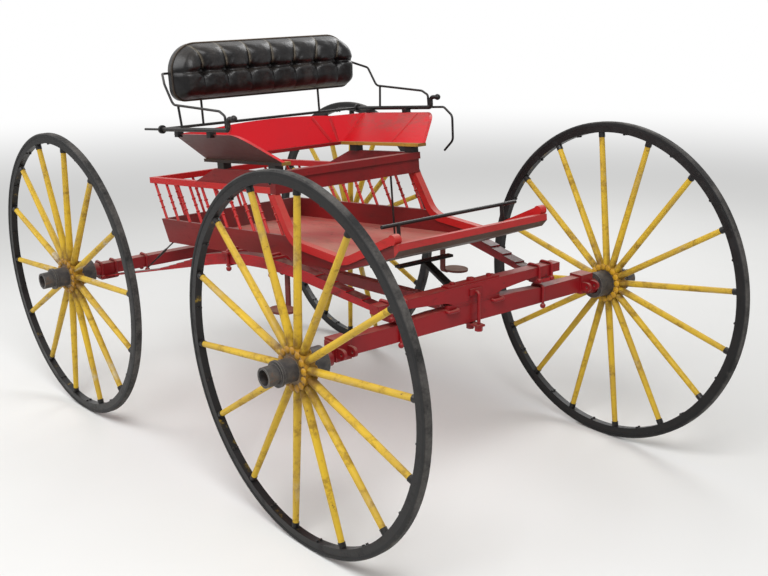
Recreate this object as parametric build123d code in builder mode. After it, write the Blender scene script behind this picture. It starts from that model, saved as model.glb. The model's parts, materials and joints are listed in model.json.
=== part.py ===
from build123d import *
import os
from math import atan2, cos, hypot, radians, sin, tan

# Doctor buggy: a light horse-drawn carriage with four tall wheels, two side springs that run
# from the rear axle to the front bolster, and a low red body hung between the springs.
# +X is forwards, +Y is the vehicle's left, +Z is up. The origin is on the ground.
os.makedirs("parts", exist_ok=True)

mm = 1.0

# Driving dimensions of the running gear
wheelbase = 1580 * mm
half_track = 715 * mm
front_wheel_radius = 600 * mm
rear_wheel_radius = 575 * mm
camber_angle = 2.0
right_spokes = 14
left_spokes = 16
# Where the nearest spoke stands above the forward horizontal, in degrees
spoke_starts = {"front_right": 6.3, "front_left": 7.8, "rear_right": 3.5, "rear_left": 0}
bearing_clearance = 0.05 * mm
face_clearance = 0.3 * mm
overrun = 60 * mm

# The wheels reach equally far from the origin in front and behind
front_axle_x = (wheelbase - front_wheel_radius + rear_wheel_radius) / 2
rear_axle_x = front_axle_x - wheelbase

# Wheel
tyre_width = 28 * mm
tyre_depth = 15 * mm
tyre_shoulder = 5 * mm
felloe_width = 26 * mm
felloe_depth = 24 * mm
spoke_root_width = 24 * mm
spoke_root_depth = 30 * mm
spoke_tip_diameter = 20 * mm
wheel_dish = 6 * mm
flange_radius = 66 * mm
flange_half_width = 21 * mm
inner_hub_radius = 47 * mm
inner_hub_length = 88 * mm
inner_hub_socket_radius = 31 * mm
inner_hub_socket_depth = 30 * mm
outer_hub_radius = 38 * mm
outer_hub_length = 82 * mm
hub_ring_radius = 42 * mm
hub_ring_length = 10 * mm
nose_radius = 32 * mm
nose_length = 42 * mm
nose_bore_radius = 25 * mm
nose_bore_depth = 55 * mm

# Axles
axle_arm_radius = 15 * mm
axle_collar_radius = 27 * mm
axle_collar_overlap = 20 * mm
axle_bed_half_length = 600 * mm
axle_bed_width = 42 * mm
axle_collar_root = 3 * mm
rear_bed_height = 46 * mm
front_bed_height = 56 * mm
front_bed_lift = 24 * mm
front_bed_rise = 8 * mm
front_bed_rise_start = 330 * mm
front_bed_rise_end = 190 * mm
axle_nut_radius = 22 * mm
axle_nut_length = 18 * mm

# Bolster and turning gear on the front axle
bolster_half_length = 418 * mm
bolster_width = 44 * mm
bolster_middle_height = 57 * mm
bolster_end_height = 31 * mm
bolster_end_start = 295 * mm
bolster_shoulder = 130 * mm
bolster_shoulder_rise = 11 * mm
bolster_middle_half = 100 * mm
fifth_plate_half_length = 125 * mm
fifth_plate_width = 44 * mm
fifth_plate_thickness = 6 * mm
kingbolt_radius = 8 * mm
kingbolt_head_radius = 15 * mm
kingbolt_head_height = 9 * mm
yoke_rod_radius = 6 * mm
yoke_gap = 14 * mm
yoke_bend_share = 0.6
yoke_strap_thickness = 7 * mm
yoke_strap_width = 30 * mm
yoke_strap_drop = 6 * mm
yoke_nut_radius = 14 * mm
yoke_nut_height = 16 * mm
yoke_foot_width = 54 * mm
yoke_foot_height = 24 * mm
yoke_foot_thickness = 6 * mm
top_plate_half_length = 118 * mm
top_plate_width = 34 * mm
top_plate_thickness = 6 * mm
nut_radius = 9 * mm
nut_height = 8 * mm
nut_pitch = 84 * mm

# Reach, and the stay that stops the body from striking it
reach_width = 34 * mm
reach_height = 40 * mm
reach_rise_length = 130 * mm
reach_seat_length = 30 * mm
stay_width = 32 * mm
stay_thickness = 10 * mm
stay_foot_x = 700 * mm
stay_foot_drop = 12 * mm
stay_top_x = 545 * mm
stay_bar_half_length = 125 * mm
stay_bar_height = 9 * mm
stay_bar_width = 26 * mm
stay_gap = 9 * mm

# Side springs: each is a pack of leaves, arched upwards, the longest leaf lowest
leaf_thickness = 5 * mm
leaf_width = 42 * mm
# How far each leaf reaches from the crest, as shares of the rear and of the front limb
leaf_shares = (
    (1.00, 1.00),
    (0.56, 1.00),
    (0.50, 1.00),
    (0.45, 0.90),
    (0.40, 0.78),
    (0.36, 0.67),
    (0.33, 0.56),
    (0.30, 0.46),
)
spring_crest_height = 142 * mm
spring_crest_forward = 165 * mm
spring_bend_radius = 1350 * mm
spring_rear_y = 560 * mm
spring_front_y = 340 * mm
spring_overhang = 30 * mm
spring_rear_seat = 13 * mm
spring_front_seat = 7 * mm
saddle_lip = 7 * mm

# Body frame: it is pitched nose-up, as it sits on the springs
body_pitch = 5.0
sill_height = 733 * mm
body_half_width = 338 * mm
side_thickness = 14 * mm
floor_thickness = 15 * mm
panel_height = 95 * mm
body_rear = 665 * mm
rear_lean = 25.0
toe_kink = 512 * mm
toe_front = 794 * mm
toe_rise = 74 * mm
lip_height = 44 * mm
lip_face = 22 * mm
lip_depth = 24 * mm
rail_height = 240 * mm
rail_size = 24 * mm
pillar_head_x = 138 * mm
pillar_foot_x = 234 * mm
pillar_foot_height = 74 * mm
moulding_low_x = 530 * mm
moulding_low_height = 32 * mm
moulding_front_height = 130 * mm
moulding_width = 28 * mm
moulding_proud = 7 * mm
pillar_bend_radius = 105 * mm
moulding_bend_radius = 190 * mm
scroll_radius = 17 * mm

# Spindles
spindle_radius = 5.5 * mm
spindle_bead_radius = 8.5 * mm
spindle_bead_length = 9 * mm
spindle_pitch = 94 * mm
spindle_first = 34 * mm
tail_spindle_count = 6

# Seat riser, seat and back
riser_height = 54 * mm
riser_thickness = 16 * mm
riser_rear_bottom = 400 * mm
riser_rear_top = 250 * mm
beam_depth = 34 * mm
beam_cap_height = 26 * mm
beam_cap_proud = 10 * mm
seat_gap = 24 * mm
seat_strip_thickness = 12 * mm
seat_strip_outset = 18 * mm
seat_strip_inset = 22 * mm
seat_rear = 302 * mm
seat_front = 208 * mm
seat_inset = 20 * mm
seat_wall_thickness = 10 * mm
seat_wall_rise = 106 * mm
wing_spread = 128 * mm
wing_top_front = 125 * mm
wing_level_rear = 200 * mm
wing_corner_radius = 80 * mm
back_lean = 30 * mm
back_crown = 15 * mm
corner_cut_low = 25 * mm
corner_cut_high = 140 * mm
corner_cut_share = 0.264
seat_cut_share = 0.1
seat_foot_length = 44 * mm
seat_foot_inset = 18 * mm

# Irons of the seat
iron_radius = 8 * mm
rod_tail_radius = 4.5 * mm
back_rail_radius = 5.5 * mm
back_post_radius = 4.5 * mm
arm_radius = 4.5 * mm
arm_clear = 16 * mm
arm_outset = 12 * mm
arm_shoulder_x = 300 * mm
arm_shoulder_height = 646 * mm
arm_elbow_x = 250 * mm
arm_height = 544 * mm
arm_slope = 26 * mm
arm_front_x = 84 * mm
arm_drop_run = 34 * mm
arm_bends = (12 * mm, 22 * mm, 34 * mm, 40 * mm, 14 * mm)
arm_post_x = 222 * mm
arm_post_outset = 8 * mm
hook_radius = 4.5 * mm
# Hook rod: forwards, and up from the side rod
hook_route = (
    (20 * mm, 0),
    (160 * mm, 0),
    (206 * mm, -34 * mm),
    (202 * mm, -130 * mm),
    (150 * mm, -170 * mm),
)
hook_bends = (26 * mm, 26 * mm, 30 * mm)
rod_outset = 24 * mm
rod_rear = 510 * mm
rod_front = 92 * mm
rod_collar_radius = 16 * mm
rod_collar_length = 10 * mm
rod_collar_x = 375 * mm
rod_lift = 18 * mm
rod_upturn = 40 * mm
rod_upturn_bend = 14 * mm
rod_foot_places = (-272 * mm, -40 * mm)
rod_foot_length = 24 * mm
rod_foot_width = 26 * mm
rod_foot_inset = 12 * mm
knob_radius = 12 * mm
back_post_spread = 280 * mm
backrest_low = 576 * mm
backrest_height = 214 * mm
backrest_inset = 50 * mm
backrest_thickness = 112 * mm
backrest_top_radius = 110 * mm
backrest_bottom_radius = 48 * mm
backrest_edge_radius = 44 * mm
backrest_front = 266 * mm
backboard_thickness = 10 * mm
backboard_margin = 34 * mm
backboard_corner_radius = 45 * mm

# Foot rail, steps, clips and stays
foot_rail_x = 700 * mm
foot_rail_height = 158 * mm
foot_rail_half_length = 306 * mm
foot_rail_radius = 6.5 * mm
foot_pad_size = 26 * mm
foot_pad_thickness = 5 * mm
foot_post_spread = 236 * mm
prop_rod_radius = 4 * mm
prop_rod_y = 205 * mm
step_x = 262 * mm
step_y = 415 * mm
step_drop = 142 * mm
step_length = 104 * mm
step_width = 88 * mm
step_thickness = 8 * mm
step_hanger_width = 24 * mm
step_hanger_thickness = 7 * mm
step_hanger_inset = 38 * mm
step_hanger_y = 370 * mm
step_hanger_bend = 14 * mm
clip_radius = 5 * mm
ball_nut_radius = 10 * mm
hanger_width = 38 * mm
hanger_thickness = 8 * mm
hanger_places = (10 * mm, 235 * mm)
hanger_bedding = 2 * mm
hanger_foot = 14 * mm
hanger_bend_radius = 16 * mm
clip_plate_thickness = 5 * mm
clip_plate_width = 16 * mm
saddle_half_length = 34 * mm
saddle_clip_offset = 31 * mm
coupling_y = 562 * mm
coupling_block_length = 62 * mm
coupling_wall = 7 * mm
coupling_ear_thickness = 11 * mm
coupling_ear_reach = 22 * mm
coupling_ear_radius = 16 * mm
coupling_bolt_radius = 5.5 * mm
coupling_ear_spread = 42 * mm
coupling_ear_drop = 6 * mm
guide_y = 105 * mm
guide_radius = 6 * mm
guide_length = 46 * mm
tail_stay_radius = 3 * mm
tail_stay_axle_y = 388 * mm
tail_stay_inset = 12 * mm
tail_sleeve_shares = (0.30, 0.62)
tail_stay_sleeve_radius = 5 * mm

camber = radians(camber_angle)
pitch = radians(body_pitch)
lean = tan(radians(rear_lean))


def write(builder, name):
    builder.part.label = name
    export_step(builder.part, "parts/" + name + ".step")


# Places in the body's own frame: forwards, left, up from the underside of the sill
body_frame = Plane(
    origin=(0, 0, sill_height), x_dir=(cos(pitch), 0, sin(pitch)), z_dir=(-sin(pitch), 0, cos(pitch))
)


def body_point(forwards, left, up):
    return body_frame.from_local_coords(Vector(forwards, left, up))


def body_level(up):
    return Plane(origin=body_point(0, 0, up), x_dir=body_frame.x_dir, z_dir=body_frame.z_dir)


def body_side(left):
    return Plane(origin=body_point(0, left, 0), x_dir=body_frame.x_dir, z_dir=-body_frame.y_dir)


def body_across(forwards):
    return Plane(origin=body_point(forwards, 0, 0), x_dir=body_frame.y_dir, z_dir=body_frame.x_dir)


def add_rod(points, radius, bends=()):
    """Adds a round iron through the given points, its corners rounded to the given bends."""
    with BuildLine() as route:
        if bends:
            FilletPolyline(*points, radius=list(bends))
        else:
            Polyline(*points)
    start = Plane(origin=route.line @ 0, z_dir=route.line % 0)
    with BuildSketch(start) as section:
        Circle(radius)
    sweep(sections=section.sketch, path=route.line)


def add_bar(corner_low, corner_high):
    """Adds a square bar between two opposite corners, its sides along X, Y and Z."""
    size = Vector(*corner_high) - Vector(*corner_low)
    middle = (Vector(*corner_high) + Vector(*corner_low)) / 2
    with Locations(middle):
        Box(size.X, size.Y, size.Z)


# Wheels: each has its own frame at the hub, its Z pointing outwards and tipped down by the camber
sides = {"right": -1, "left": 1}
# End of the carriage: place of the axle, radius of its wheels
ends = {"front": (front_axle_x, front_wheel_radius), "rear": (rear_axle_x, rear_wheel_radius)}
spoke_counts = {"right": right_spokes, "left": left_spokes}


def axle_height(radius):
    return radius * cos(camber) + (tyre_width / 2 - tyre_shoulder + wheel_dish) * sin(camber)


def wheel_frame(end, side):
    place, radius = ends[end]
    outward = (0, sides[side] * cos(camber), -sin(camber))
    return Plane(
        origin=(place, sides[side] * half_track, axle_height(radius)), x_dir=(1, 0, 0), z_dir=outward
    )


def turned(frame, outline):
    """Adds a turned piece: outline holds (radius, distance outwards) along the hub's axis."""
    outward = frame.z_dir
    profile = Plane(origin=frame.origin, x_dir=frame.x_dir, z_dir=frame.x_dir.cross(outward))
    with BuildSketch(profile) as section:
        with BuildLine():
            Polyline(*outline, close=True)
        make_face()
    revolve(profiles=section.sketch, axis=Axis(frame.origin, outward))


hub_outer_end = outer_hub_length + nose_length
arm_end = hub_outer_end - nose_bore_depth
for end in ends:
    radius = ends[end][1]
    felloe_radius = radius - tyre_depth
    spoke_tip_radius = felloe_radius - felloe_depth
    for side in sides:
        frame = wheel_frame(end, side)
        name = end + "_" + side

        with BuildPart() as tyre:
            half = tyre_width / 2
            turned(frame, [
                (felloe_radius, wheel_dish - half),
                (radius - tyre_shoulder, wheel_dish - half),
                (radius, wheel_dish - half + tyre_shoulder),
                (radius, wheel_dish + half - tyre_shoulder),
                (radius - tyre_shoulder, wheel_dish + half),
                (felloe_radius, wheel_dish + half),
            ])
        write(tyre, "tyre_" + name)

        with BuildPart() as wheel:
            half = felloe_width / 2
            turned(frame, [
                (spoke_tip_radius, wheel_dish - half),
                (felloe_radius, wheel_dish - half),
                (felloe_radius, wheel_dish + half),
                (spoke_tip_radius, wheel_dish + half),
            ])
            for count in range(spoke_counts[side]):
                turn = radians(360 * count / spoke_counts[side] - sides[side] * spoke_starts[name])
                radial = frame.x_dir * cos(turn) + frame.y_dir * sin(turn)
                across = frame.z_dir.cross(radial)
                root = frame.origin + radial * flange_radius
                tip = frame.origin + radial * (spoke_tip_radius + felloe_depth / 2)
                tip = tip + frame.z_dir * wheel_dish
                with BuildSketch(Plane(origin=root, x_dir=across, z_dir=radial)) as thick:
                    Ellipse(spoke_root_width / 2, spoke_root_depth / 2)
                with BuildSketch(Plane(origin=tip, x_dir=across, z_dir=radial)) as thin:
                    Circle(spoke_tip_diameter / 2)
                loft(sections=[thick.sketch, thin.sketch])
        write(wheel, "wheel_" + name)

        with BuildPart() as hub:
            bore = axle_arm_radius + bearing_clearance
            turned(frame, [
                (inner_hub_socket_radius, -inner_hub_length),
                (inner_hub_radius, -inner_hub_length),
                (inner_hub_radius, -flange_half_width),
                (flange_radius, -flange_half_width),
                (flange_radius, flange_half_width),
                (outer_hub_radius, flange_half_width),
                (outer_hub_radius, outer_hub_length - hub_ring_length),
                (hub_ring_radius, outer_hub_length - hub_ring_length),
                (hub_ring_radius, outer_hub_length),
                (nose_radius, outer_hub_length),
                (nose_radius, hub_outer_end),
                (nose_bore_radius, hub_outer_end),
                (nose_bore_radius, arm_end),
                (bore, arm_end),
                (bore, inner_hub_socket_depth - inner_hub_length),
                (inner_hub_socket_radius, inner_hub_socket_depth - inner_hub_length),
            ])
        write(hub, "hub_" + name)

# Axles: an iron arm in each hub, a collar behind it and a wooden bed between the collars
collar_end = inner_hub_length - axle_collar_overlap


def add_axle_arms(end):
    for side in sides:
        frame = wheel_frame(end, side)
        collar_start = (half_track - axle_bed_half_length + axle_collar_root) / cos(camber)
        nut_start = arm_end + face_clearance
        turned(frame, [
            (0, -collar_start),
            (axle_collar_radius, -collar_start),
            (axle_collar_radius, -collar_end),
            (axle_arm_radius, -collar_end),
            (axle_arm_radius, nut_start),
            (axle_nut_radius, nut_start),
            (axle_nut_radius, nut_start + axle_nut_length),
            (0, nut_start + axle_nut_length),
        ])


def elevation(place):
    """The plane that looks along X from the front: sketch x is the vehicle's left, y is up."""
    return Plane(origin=(place, 0, 0), x_dir=(0, 1, 0), z_dir=(1, 0, 0))


def mirrored(outline):
    """Completes the outline of the left half, listed from the middle outwards and back."""
    return outline + [(-y, z) for y, z in reversed(outline)]


arm_drop = (half_track - axle_bed_half_length) * tan(camber)
bed_middle_front = axle_height(front_wheel_radius) + arm_drop + front_bed_lift
bed_middle_rear = axle_height(rear_wheel_radius) + arm_drop
front_bed_half = front_bed_height / 2
front_bed_top = bed_middle_front + front_bed_half + front_bed_rise
front_bed_bottom = bed_middle_front - front_bed_half
rear_bed_half = rear_bed_height / 2
rear_bed_bottom = bed_middle_rear - rear_bed_half

with BuildPart() as rear_axle:
    with BuildSketch(elevation(rear_axle_x)):
        with Locations((0, bed_middle_rear)):
            Rectangle(2 * axle_bed_half_length, rear_bed_height)
    extrude(amount=axle_bed_width / 2, both=True)
    add_axle_arms("rear")
write(rear_axle, "rear_axle")

with BuildPart() as front_axle:
    with BuildSketch(elevation(front_axle_x)):
        with BuildLine():
            Polyline(*mirrored([
                (front_bed_rise_end, front_bed_top),
                (front_bed_rise_start, bed_middle_front + front_bed_half),
                (axle_bed_half_length, bed_middle_front + front_bed_half),
                (axle_bed_half_length, front_bed_bottom),
            ]), close=True)
        make_face()
    extrude(amount=axle_bed_width / 2, both=True)
    add_axle_arms("front")
    with Locations((front_axle_x, 0, front_bed_top)):
        Cylinder(
            kingbolt_radius + bearing_clearance,
            2 * (front_bed_height + front_bed_rise) + overrun,
            mode=Mode.SUBTRACT,
        )
write(front_axle, "front_axle")

# The fifth wheel: a plate on the axle bed turns against a plate under the bolster
lower_plate_base = front_bed_top
upper_plate_base = lower_plate_base + fifth_plate_thickness + face_clearance
bolster_base = upper_plate_base + fifth_plate_thickness
bolster_top = bolster_base + bolster_middle_height
bolster_end_base = bolster_top - bolster_end_height


def add_fifth_plate(base, hole_radius):
    with BuildSketch(Plane.XY.offset(base)) as plate:
        with Locations((front_axle_x, 0)):
            RectangleRounded(fifth_plate_width, 2 * fifth_plate_half_length, fifth_plate_width / 3)
            Circle(hole_radius, mode=Mode.SUBTRACT)
    extrude(plate.sketch, amount=fifth_plate_thickness)


with BuildPart() as lower_fifth_plate:
    add_fifth_plate(lower_plate_base, kingbolt_radius + bearing_clearance)
write(lower_fifth_plate, "lower_fifth_plate")

with BuildPart() as upper_fifth_plate:
    add_fifth_plate(upper_plate_base, kingbolt_radius)
write(upper_fifth_plate, "upper_fifth_plate")

with BuildPart() as bolster:
    with BuildSketch(elevation(front_axle_x)):
        with BuildLine():
            Polyline(*mirrored([
                (bolster_half_length, bolster_top),
                (bolster_half_length, bolster_end_base),
                (bolster_end_start, bolster_end_base),
                (bolster_shoulder, bolster_base + bolster_shoulder_rise),
                (bolster_middle_half, bolster_base),
            ]), close=True)
        make_face()
    extrude(amount=bolster_width / 2, both=True)
    with Locations((front_axle_x, 0, bolster_base)):
        Cylinder(kingbolt_radius, 2 * bolster_middle_height + overrun, mode=Mode.SUBTRACT)
write(bolster, "bolster")

strap_top = front_bed_bottom - yoke_strap_drop
strap_base = strap_top - yoke_strap_thickness
with BuildPart() as kingbolt:
    kingbolt_top = bolster_top + top_plate_thickness
    with BuildSketch(Plane.XY.offset(strap_base - yoke_nut_height)):
        with Locations((front_axle_x, 0)):
            Circle(kingbolt_radius)
    extrude(amount=kingbolt_top - strap_base + yoke_nut_height)
    with BuildSketch(Plane.XY.offset(kingbolt_top)):
        with Locations((front_axle_x, 0)):
            RegularPolygon(kingbolt_head_radius, 6)
    extrude(amount=kingbolt_head_height)
write(kingbolt, "kingbolt")

rod_x = front_axle_x + axle_bed_width / 2 + yoke_gap + yoke_rod_radius
foot_face = front_axle_x + bolster_width / 2
foot_middle = bolster_base + bolster_middle_height / 2
with BuildPart() as kingbolt_yoke:
    add_rod(
        [
            (foot_face + yoke_foot_thickness / 2, 0, foot_middle),
            (rod_x, 0, foot_middle),
            (rod_x, 0, strap_base),
        ],
        yoke_rod_radius,
        [(rod_x - foot_face) * yoke_bend_share],
    )
    add_bar(
        (foot_face, -yoke_foot_width / 2, foot_middle - yoke_foot_height / 2),
        (foot_face + yoke_foot_thickness, yoke_foot_width / 2, foot_middle + yoke_foot_height / 2),
    )
    add_bar(
        (front_axle_x - yoke_strap_width / 2, -yoke_strap_width / 2, strap_base),
        (rod_x + yoke_strap_width / 2, yoke_strap_width / 2, strap_top),
    )
    with BuildSketch(Plane.XY.offset(strap_base)) as nuts:
        with Locations((rod_x, 0), (front_axle_x, 0)):
            RegularPolygon(yoke_nut_radius, 6)
    extrude(nuts.sketch, amount=-yoke_nut_height)
    with Locations((front_axle_x, 0, strap_top)):
        Cylinder(kingbolt_radius, 2 * yoke_nut_height + overrun, mode=Mode.SUBTRACT)
write(kingbolt_yoke, "kingbolt_yoke")

with BuildPart() as bolster_top_plate:
    with BuildSketch(Plane.XY.offset(bolster_top)) as strip:
        with Locations((front_axle_x, 0)):
            Rectangle(top_plate_width, 2 * top_plate_half_length)
            Circle(kingbolt_radius, mode=Mode.SUBTRACT)
    extrude(strip.sketch, amount=top_plate_thickness)
    with BuildSketch(Plane.XY.offset(bolster_top + top_plate_thickness)) as nuts:
        with Locations((front_axle_x, -nut_pitch), (front_axle_x, nut_pitch)):
            RegularPolygon(nut_radius, 6)
    extrude(nuts.sketch, amount=nut_height)
write(bolster_top_plate, "bolster_top_plate")

# The reach ties the two axles together along the centre line
reach_start = rear_axle_x + axle_bed_width / 2
reach_end = front_axle_x - bolster_width / 2
reach_half = reach_height / 2
with BuildPart() as reach:
    with BuildSketch(Plane.XZ):
        with BuildLine():
            Polyline(
                (reach_start, bed_middle_rear - reach_half),
                (reach_end - reach_rise_length, bed_middle_front - reach_half),
                (reach_end - reach_seat_length, bolster_base),
                (reach_end, bolster_base),
                (reach_end, bolster_base + reach_height),
                (reach_end - reach_seat_length, bolster_base + reach_height),
                (reach_end - reach_rise_length, bed_middle_front + reach_half),
                (reach_start, bed_middle_rear + reach_half),
                close=True,
            )
        make_face()
    extrude(amount=reach_width / 2, both=True)
write(reach, "reach")

# A bent flat iron stands on the reach and carries a bar that stops the body from striking it
reach_slope = (bolster_base + reach_half - bed_middle_front) / (reach_rise_length - reach_seat_length)
stop_run = reach_end - reach_seat_length - stay_foot_x
stop_foot = bolster_base + reach_height - reach_slope * stop_run - stay_foot_drop
stop_top = body_point(stay_top_x, 0, 0).Z - stay_gap - stay_bar_height
with BuildPart() as body_stop:
    with BuildSketch(Plane.XZ) as slant:
        with BuildLine():
            Line((stay_top_x, stop_top), (stay_foot_x, stop_foot))
        trace(line_width=stay_thickness)
    extrude(slant.sketch, amount=stay_width / 2, both=True)
    add_bar(
        (stay_top_x - stay_bar_width / 2, -stay_bar_half_length, stop_top - stay_bar_height / 2),
        (stay_top_x + stay_bar_width / 2, stay_bar_half_length, stop_top + stay_bar_height / 2),
    )
    add(reach.part, mode=Mode.SUBTRACT)
write(body_stop, "body_stop")

# Side springs: each lies in its own upright plane, between the rear axle and the bolster
front_leaf_count = sum(1 for rear_share, front_share in leaf_shares if front_share == 1)
spring_rear_z = rear_bed_bottom - spring_rear_seat
spring_front_z = bolster_end_base - spring_front_seat - front_leaf_count * leaf_thickness
leaf_pack = len(leaf_shares) * leaf_thickness


def spring_frame(side):
    """Sketch x runs forwards along the spring from its middle, y is across the leaves."""
    rear = Vector(rear_axle_x, sides[side] * spring_rear_y, spring_rear_z)
    front = Vector(front_axle_x, sides[side] * spring_front_y, spring_front_z)
    along = (front - rear).normalized()
    across = Vector(0, 0, 1).cross(along)
    return Plane(origin=(rear + front) / 2, x_dir=along, z_dir=across * -1), (front - rear).length


def limb_slopes(span):
    """How steeply the rear and the front limb fall away from the crest."""
    rear = atan2(spring_crest_height, span / 2 + spring_crest_forward)
    front = atan2(spring_crest_height, span / 2 - spring_crest_forward)
    return rear, front


def crest_point(span, over):
    """Where the limbs would meet, at a height over the lowest leaf's underside."""
    rear, front = limb_slopes(span)
    tilt = (front - rear) / 2
    outwards = Vector(sin(tilt), cos(tilt)) / cos((rear + front) / 2)
    return Vector(spring_crest_forward, spring_crest_height) + outwards * over


def leaf_edge(span, over, rear_share, front_share):
    """Draws one face of a leaf: two straight limbs joined by the long bend."""
    rear, front = limb_slopes(span)
    crest = crest_point(span, 0)
    rear_length = rear_share * (hypot(span / 2 + crest.X, crest.Y) + spring_overhang)
    front_length = front_share * (hypot(span / 2 - crest.X, crest.Y) + spring_overhang)
    return FilletPolyline(
        crest - Vector(cos(rear), sin(rear)) * rear_length + Vector(-sin(rear), cos(rear)) * over,
        crest_point(span, over),
        crest + Vector(cos(front), -sin(front)) * front_length + Vector(sin(front), cos(front)) * over,
        radius=spring_bend_radius + over,
    )


with BuildPart() as side_springs:
    for side in sides:
        frame, span = spring_frame(side)
        with BuildSketch(frame) as pack:
            for leaf, (rear_share, front_share) in enumerate(leaf_shares):
                with BuildLine():
                    low = leaf_edge(span, leaf * leaf_thickness, rear_share, front_share)
                    high = leaf_edge(span, (leaf + 1) * leaf_thickness, rear_share, front_share)
                    Line(low @ 0, high @ 0)
                    Line(low @ 1, high @ 1)
                make_face()
        extrude(pack.sketch, amount=leaf_width / 2, both=True)
write(side_springs, "side_springs")

# Body: two side panels whose front drops under an S-shaped moulding, a tail panel and the floor
panel_inner = body_half_width - side_thickness


def lean_back(height):
    """How far the slanting rear of the body has gone back at a height."""
    return body_rear + height * lean


moulding_points = [
    (pillar_head_x, rail_height),
    (pillar_foot_x, pillar_foot_height),
    (moulding_low_x, moulding_low_height),
    (toe_front, moulding_front_height),
]
moulding_bends = [pillar_bend_radius, moulding_bend_radius]
pillar_slope = (pillar_foot_x - pillar_head_x) / (rail_height - pillar_foot_height)
pillar_at_panel_top = pillar_foot_x - (panel_height - pillar_foot_height) * pillar_slope

with BuildPart() as side_panels:
    for side in sides:
        with BuildSketch(body_side(sides[side] * body_half_width)) as panel:
            with BuildLine():
                Polyline(
                    (-body_rear, 0),
                    (toe_kink, 0),
                    (toe_front, toe_rise),
                    moulding_points[3],
                    moulding_points[2],
                    moulding_points[1],
                    (pillar_at_panel_top, panel_height),
                    (-lean_back(panel_height), panel_height),
                    close=True,
                )
            make_face()
        extrude(panel.sketch, amount=sides[side] * side_thickness)
write(side_panels, "side_panels")

with BuildPart() as side_mouldings:
    for side in sides:
        with BuildSketch(body_side(sides[side] * (body_half_width + moulding_proud))) as band:
            with BuildLine():
                FilletPolyline(*moulding_points, radius=moulding_bends)
            trace(line_width=moulding_width)
            with Locations(moulding_points[3]):
                Circle(scroll_radius)
        extrude(band.sketch, amount=sides[side] * (side_thickness + 2 * moulding_proud))
    with BuildSketch(body_level(rail_height)) as above:
        Rectangle(2 * body_rear, 4 * body_half_width)
    extrude(above.sketch, amount=moulding_width, mode=Mode.SUBTRACT)
    add(side_panels.part, mode=Mode.SUBTRACT)
write(side_mouldings, "side_mouldings")

with BuildPart() as tail_panel:
    with BuildSketch(body_side(panel_inner)):
        with BuildLine():
            Polyline(
                (-body_rear, 0),
                (-lean_back(panel_height), panel_height),
                (side_thickness - lean_back(panel_height), panel_height),
                (side_thickness - body_rear, 0),
                close=True,
            )
        make_face()
    extrude(amount=2 * panel_inner)
write(tail_panel, "tail_panel")

floor_rear = body_rear - side_thickness
rail_front = pillar_head_x - moulding_width / 2
prop_x = rail_front + beam_depth / 2
with BuildPart() as floor:
    with BuildSketch(body_side(panel_inner)):
        with BuildLine():
            Polyline(
                (-floor_rear, 0),
                (toe_kink, 0),
                (toe_kink, floor_thickness),
                (-floor_rear - floor_thickness * lean, floor_thickness),
                close=True,
            )
        make_face()
    extrude(amount=2 * panel_inner)
    with BuildSketch(body_level(0)) as hole:
        with Locations((prop_x, prop_rod_y)):
            Circle(prop_rod_radius)
    extrude(hole.sketch, amount=floor_thickness, mode=Mode.SUBTRACT)
write(floor, "floor")

with BuildPart() as toe_board:
    with BuildSketch(body_side(panel_inner)):
        with BuildLine():
            Polyline(
                (toe_kink, 0),
                (toe_front, toe_rise),
                (toe_front, toe_rise + floor_thickness),
                (toe_kink, floor_thickness),
                close=True,
            )
        make_face()
    extrude(amount=2 * panel_inner)
write(toe_board, "toe_board")

with BuildPart() as front_lip:
    with BuildSketch(body_side(body_half_width)):
        with BuildLine():
            Polyline(
                (toe_front, toe_rise),
                (toe_front + lip_depth, toe_rise + lip_height - lip_face),
                (toe_front + lip_depth, toe_rise + lip_height),
                (toe_front, toe_rise + lip_height),
                close=True,
            )
        make_face()
    extrude(amount=2 * body_half_width)
    add(side_mouldings.part, mode=Mode.SUBTRACT)
write(front_lip, "front_lip")

# Top rails over the spindles: two sides and the tail, open at the front
rail_top = rail_height + rail_size
rail_rear = lean_back(rail_height)
with BuildPart() as top_rail:
    with BuildSketch(body_level(rail_height)) as rail_plan:
        with BuildLine():
            Polyline(
                (-rail_rear, -body_half_width),
                (rail_front, -body_half_width),
                (rail_front, rail_size - body_half_width),
                (rail_size - rail_rear, rail_size - body_half_width),
                (rail_size - rail_rear, body_half_width - rail_size),
                (rail_front, body_half_width - rail_size),
                (rail_front, body_half_width),
                (-rail_rear, body_half_width),
                close=True,
            )
        make_face()
    extrude(rail_plan.sketch, amount=rail_size)
write(top_rail, "top_rail")

# Spindles: turned, leaning back with the tail, cut level at the panel and at the rail
spindle_run = rail_height - panel_height
spindle_reach = 2 * spindle_bead_length
spindle_length = spindle_run / cos(radians(rear_lean)) + 2 * spindle_reach
# Beads: place along the spindle as a share of its length
bead_shares = (0.36, 0.50, 0.64)


def spindle_outline():
    """Half of the turned outline, from the foot up."""
    outline = [(0, -spindle_reach), (spindle_radius, -spindle_reach)]
    for share in bead_shares:
        middle = spindle_length * share - spindle_reach
        outline += [
            (spindle_radius, middle - spindle_bead_length / 2),
            (spindle_bead_radius, middle),
            (spindle_radius, middle + spindle_bead_length / 2),
        ]
    return outline + [(spindle_radius, spindle_length - spindle_reach), (0, spindle_length - spindle_reach)]


def add_spindle(forwards, left):
    foot = body_point(forwards, left, panel_height)
    upright = (body_point(forwards - spindle_run * lean, left, rail_height) - foot).normalized()
    with BuildSketch(Plane(origin=foot, x_dir=body_frame.y_dir, z_dir=body_frame.y_dir.cross(upright))) as half:
        with BuildLine():
            Polyline(*spindle_outline(), close=True)
        make_face()
    revolve(profiles=half.sketch, axis=Axis(foot, upright))


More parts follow.
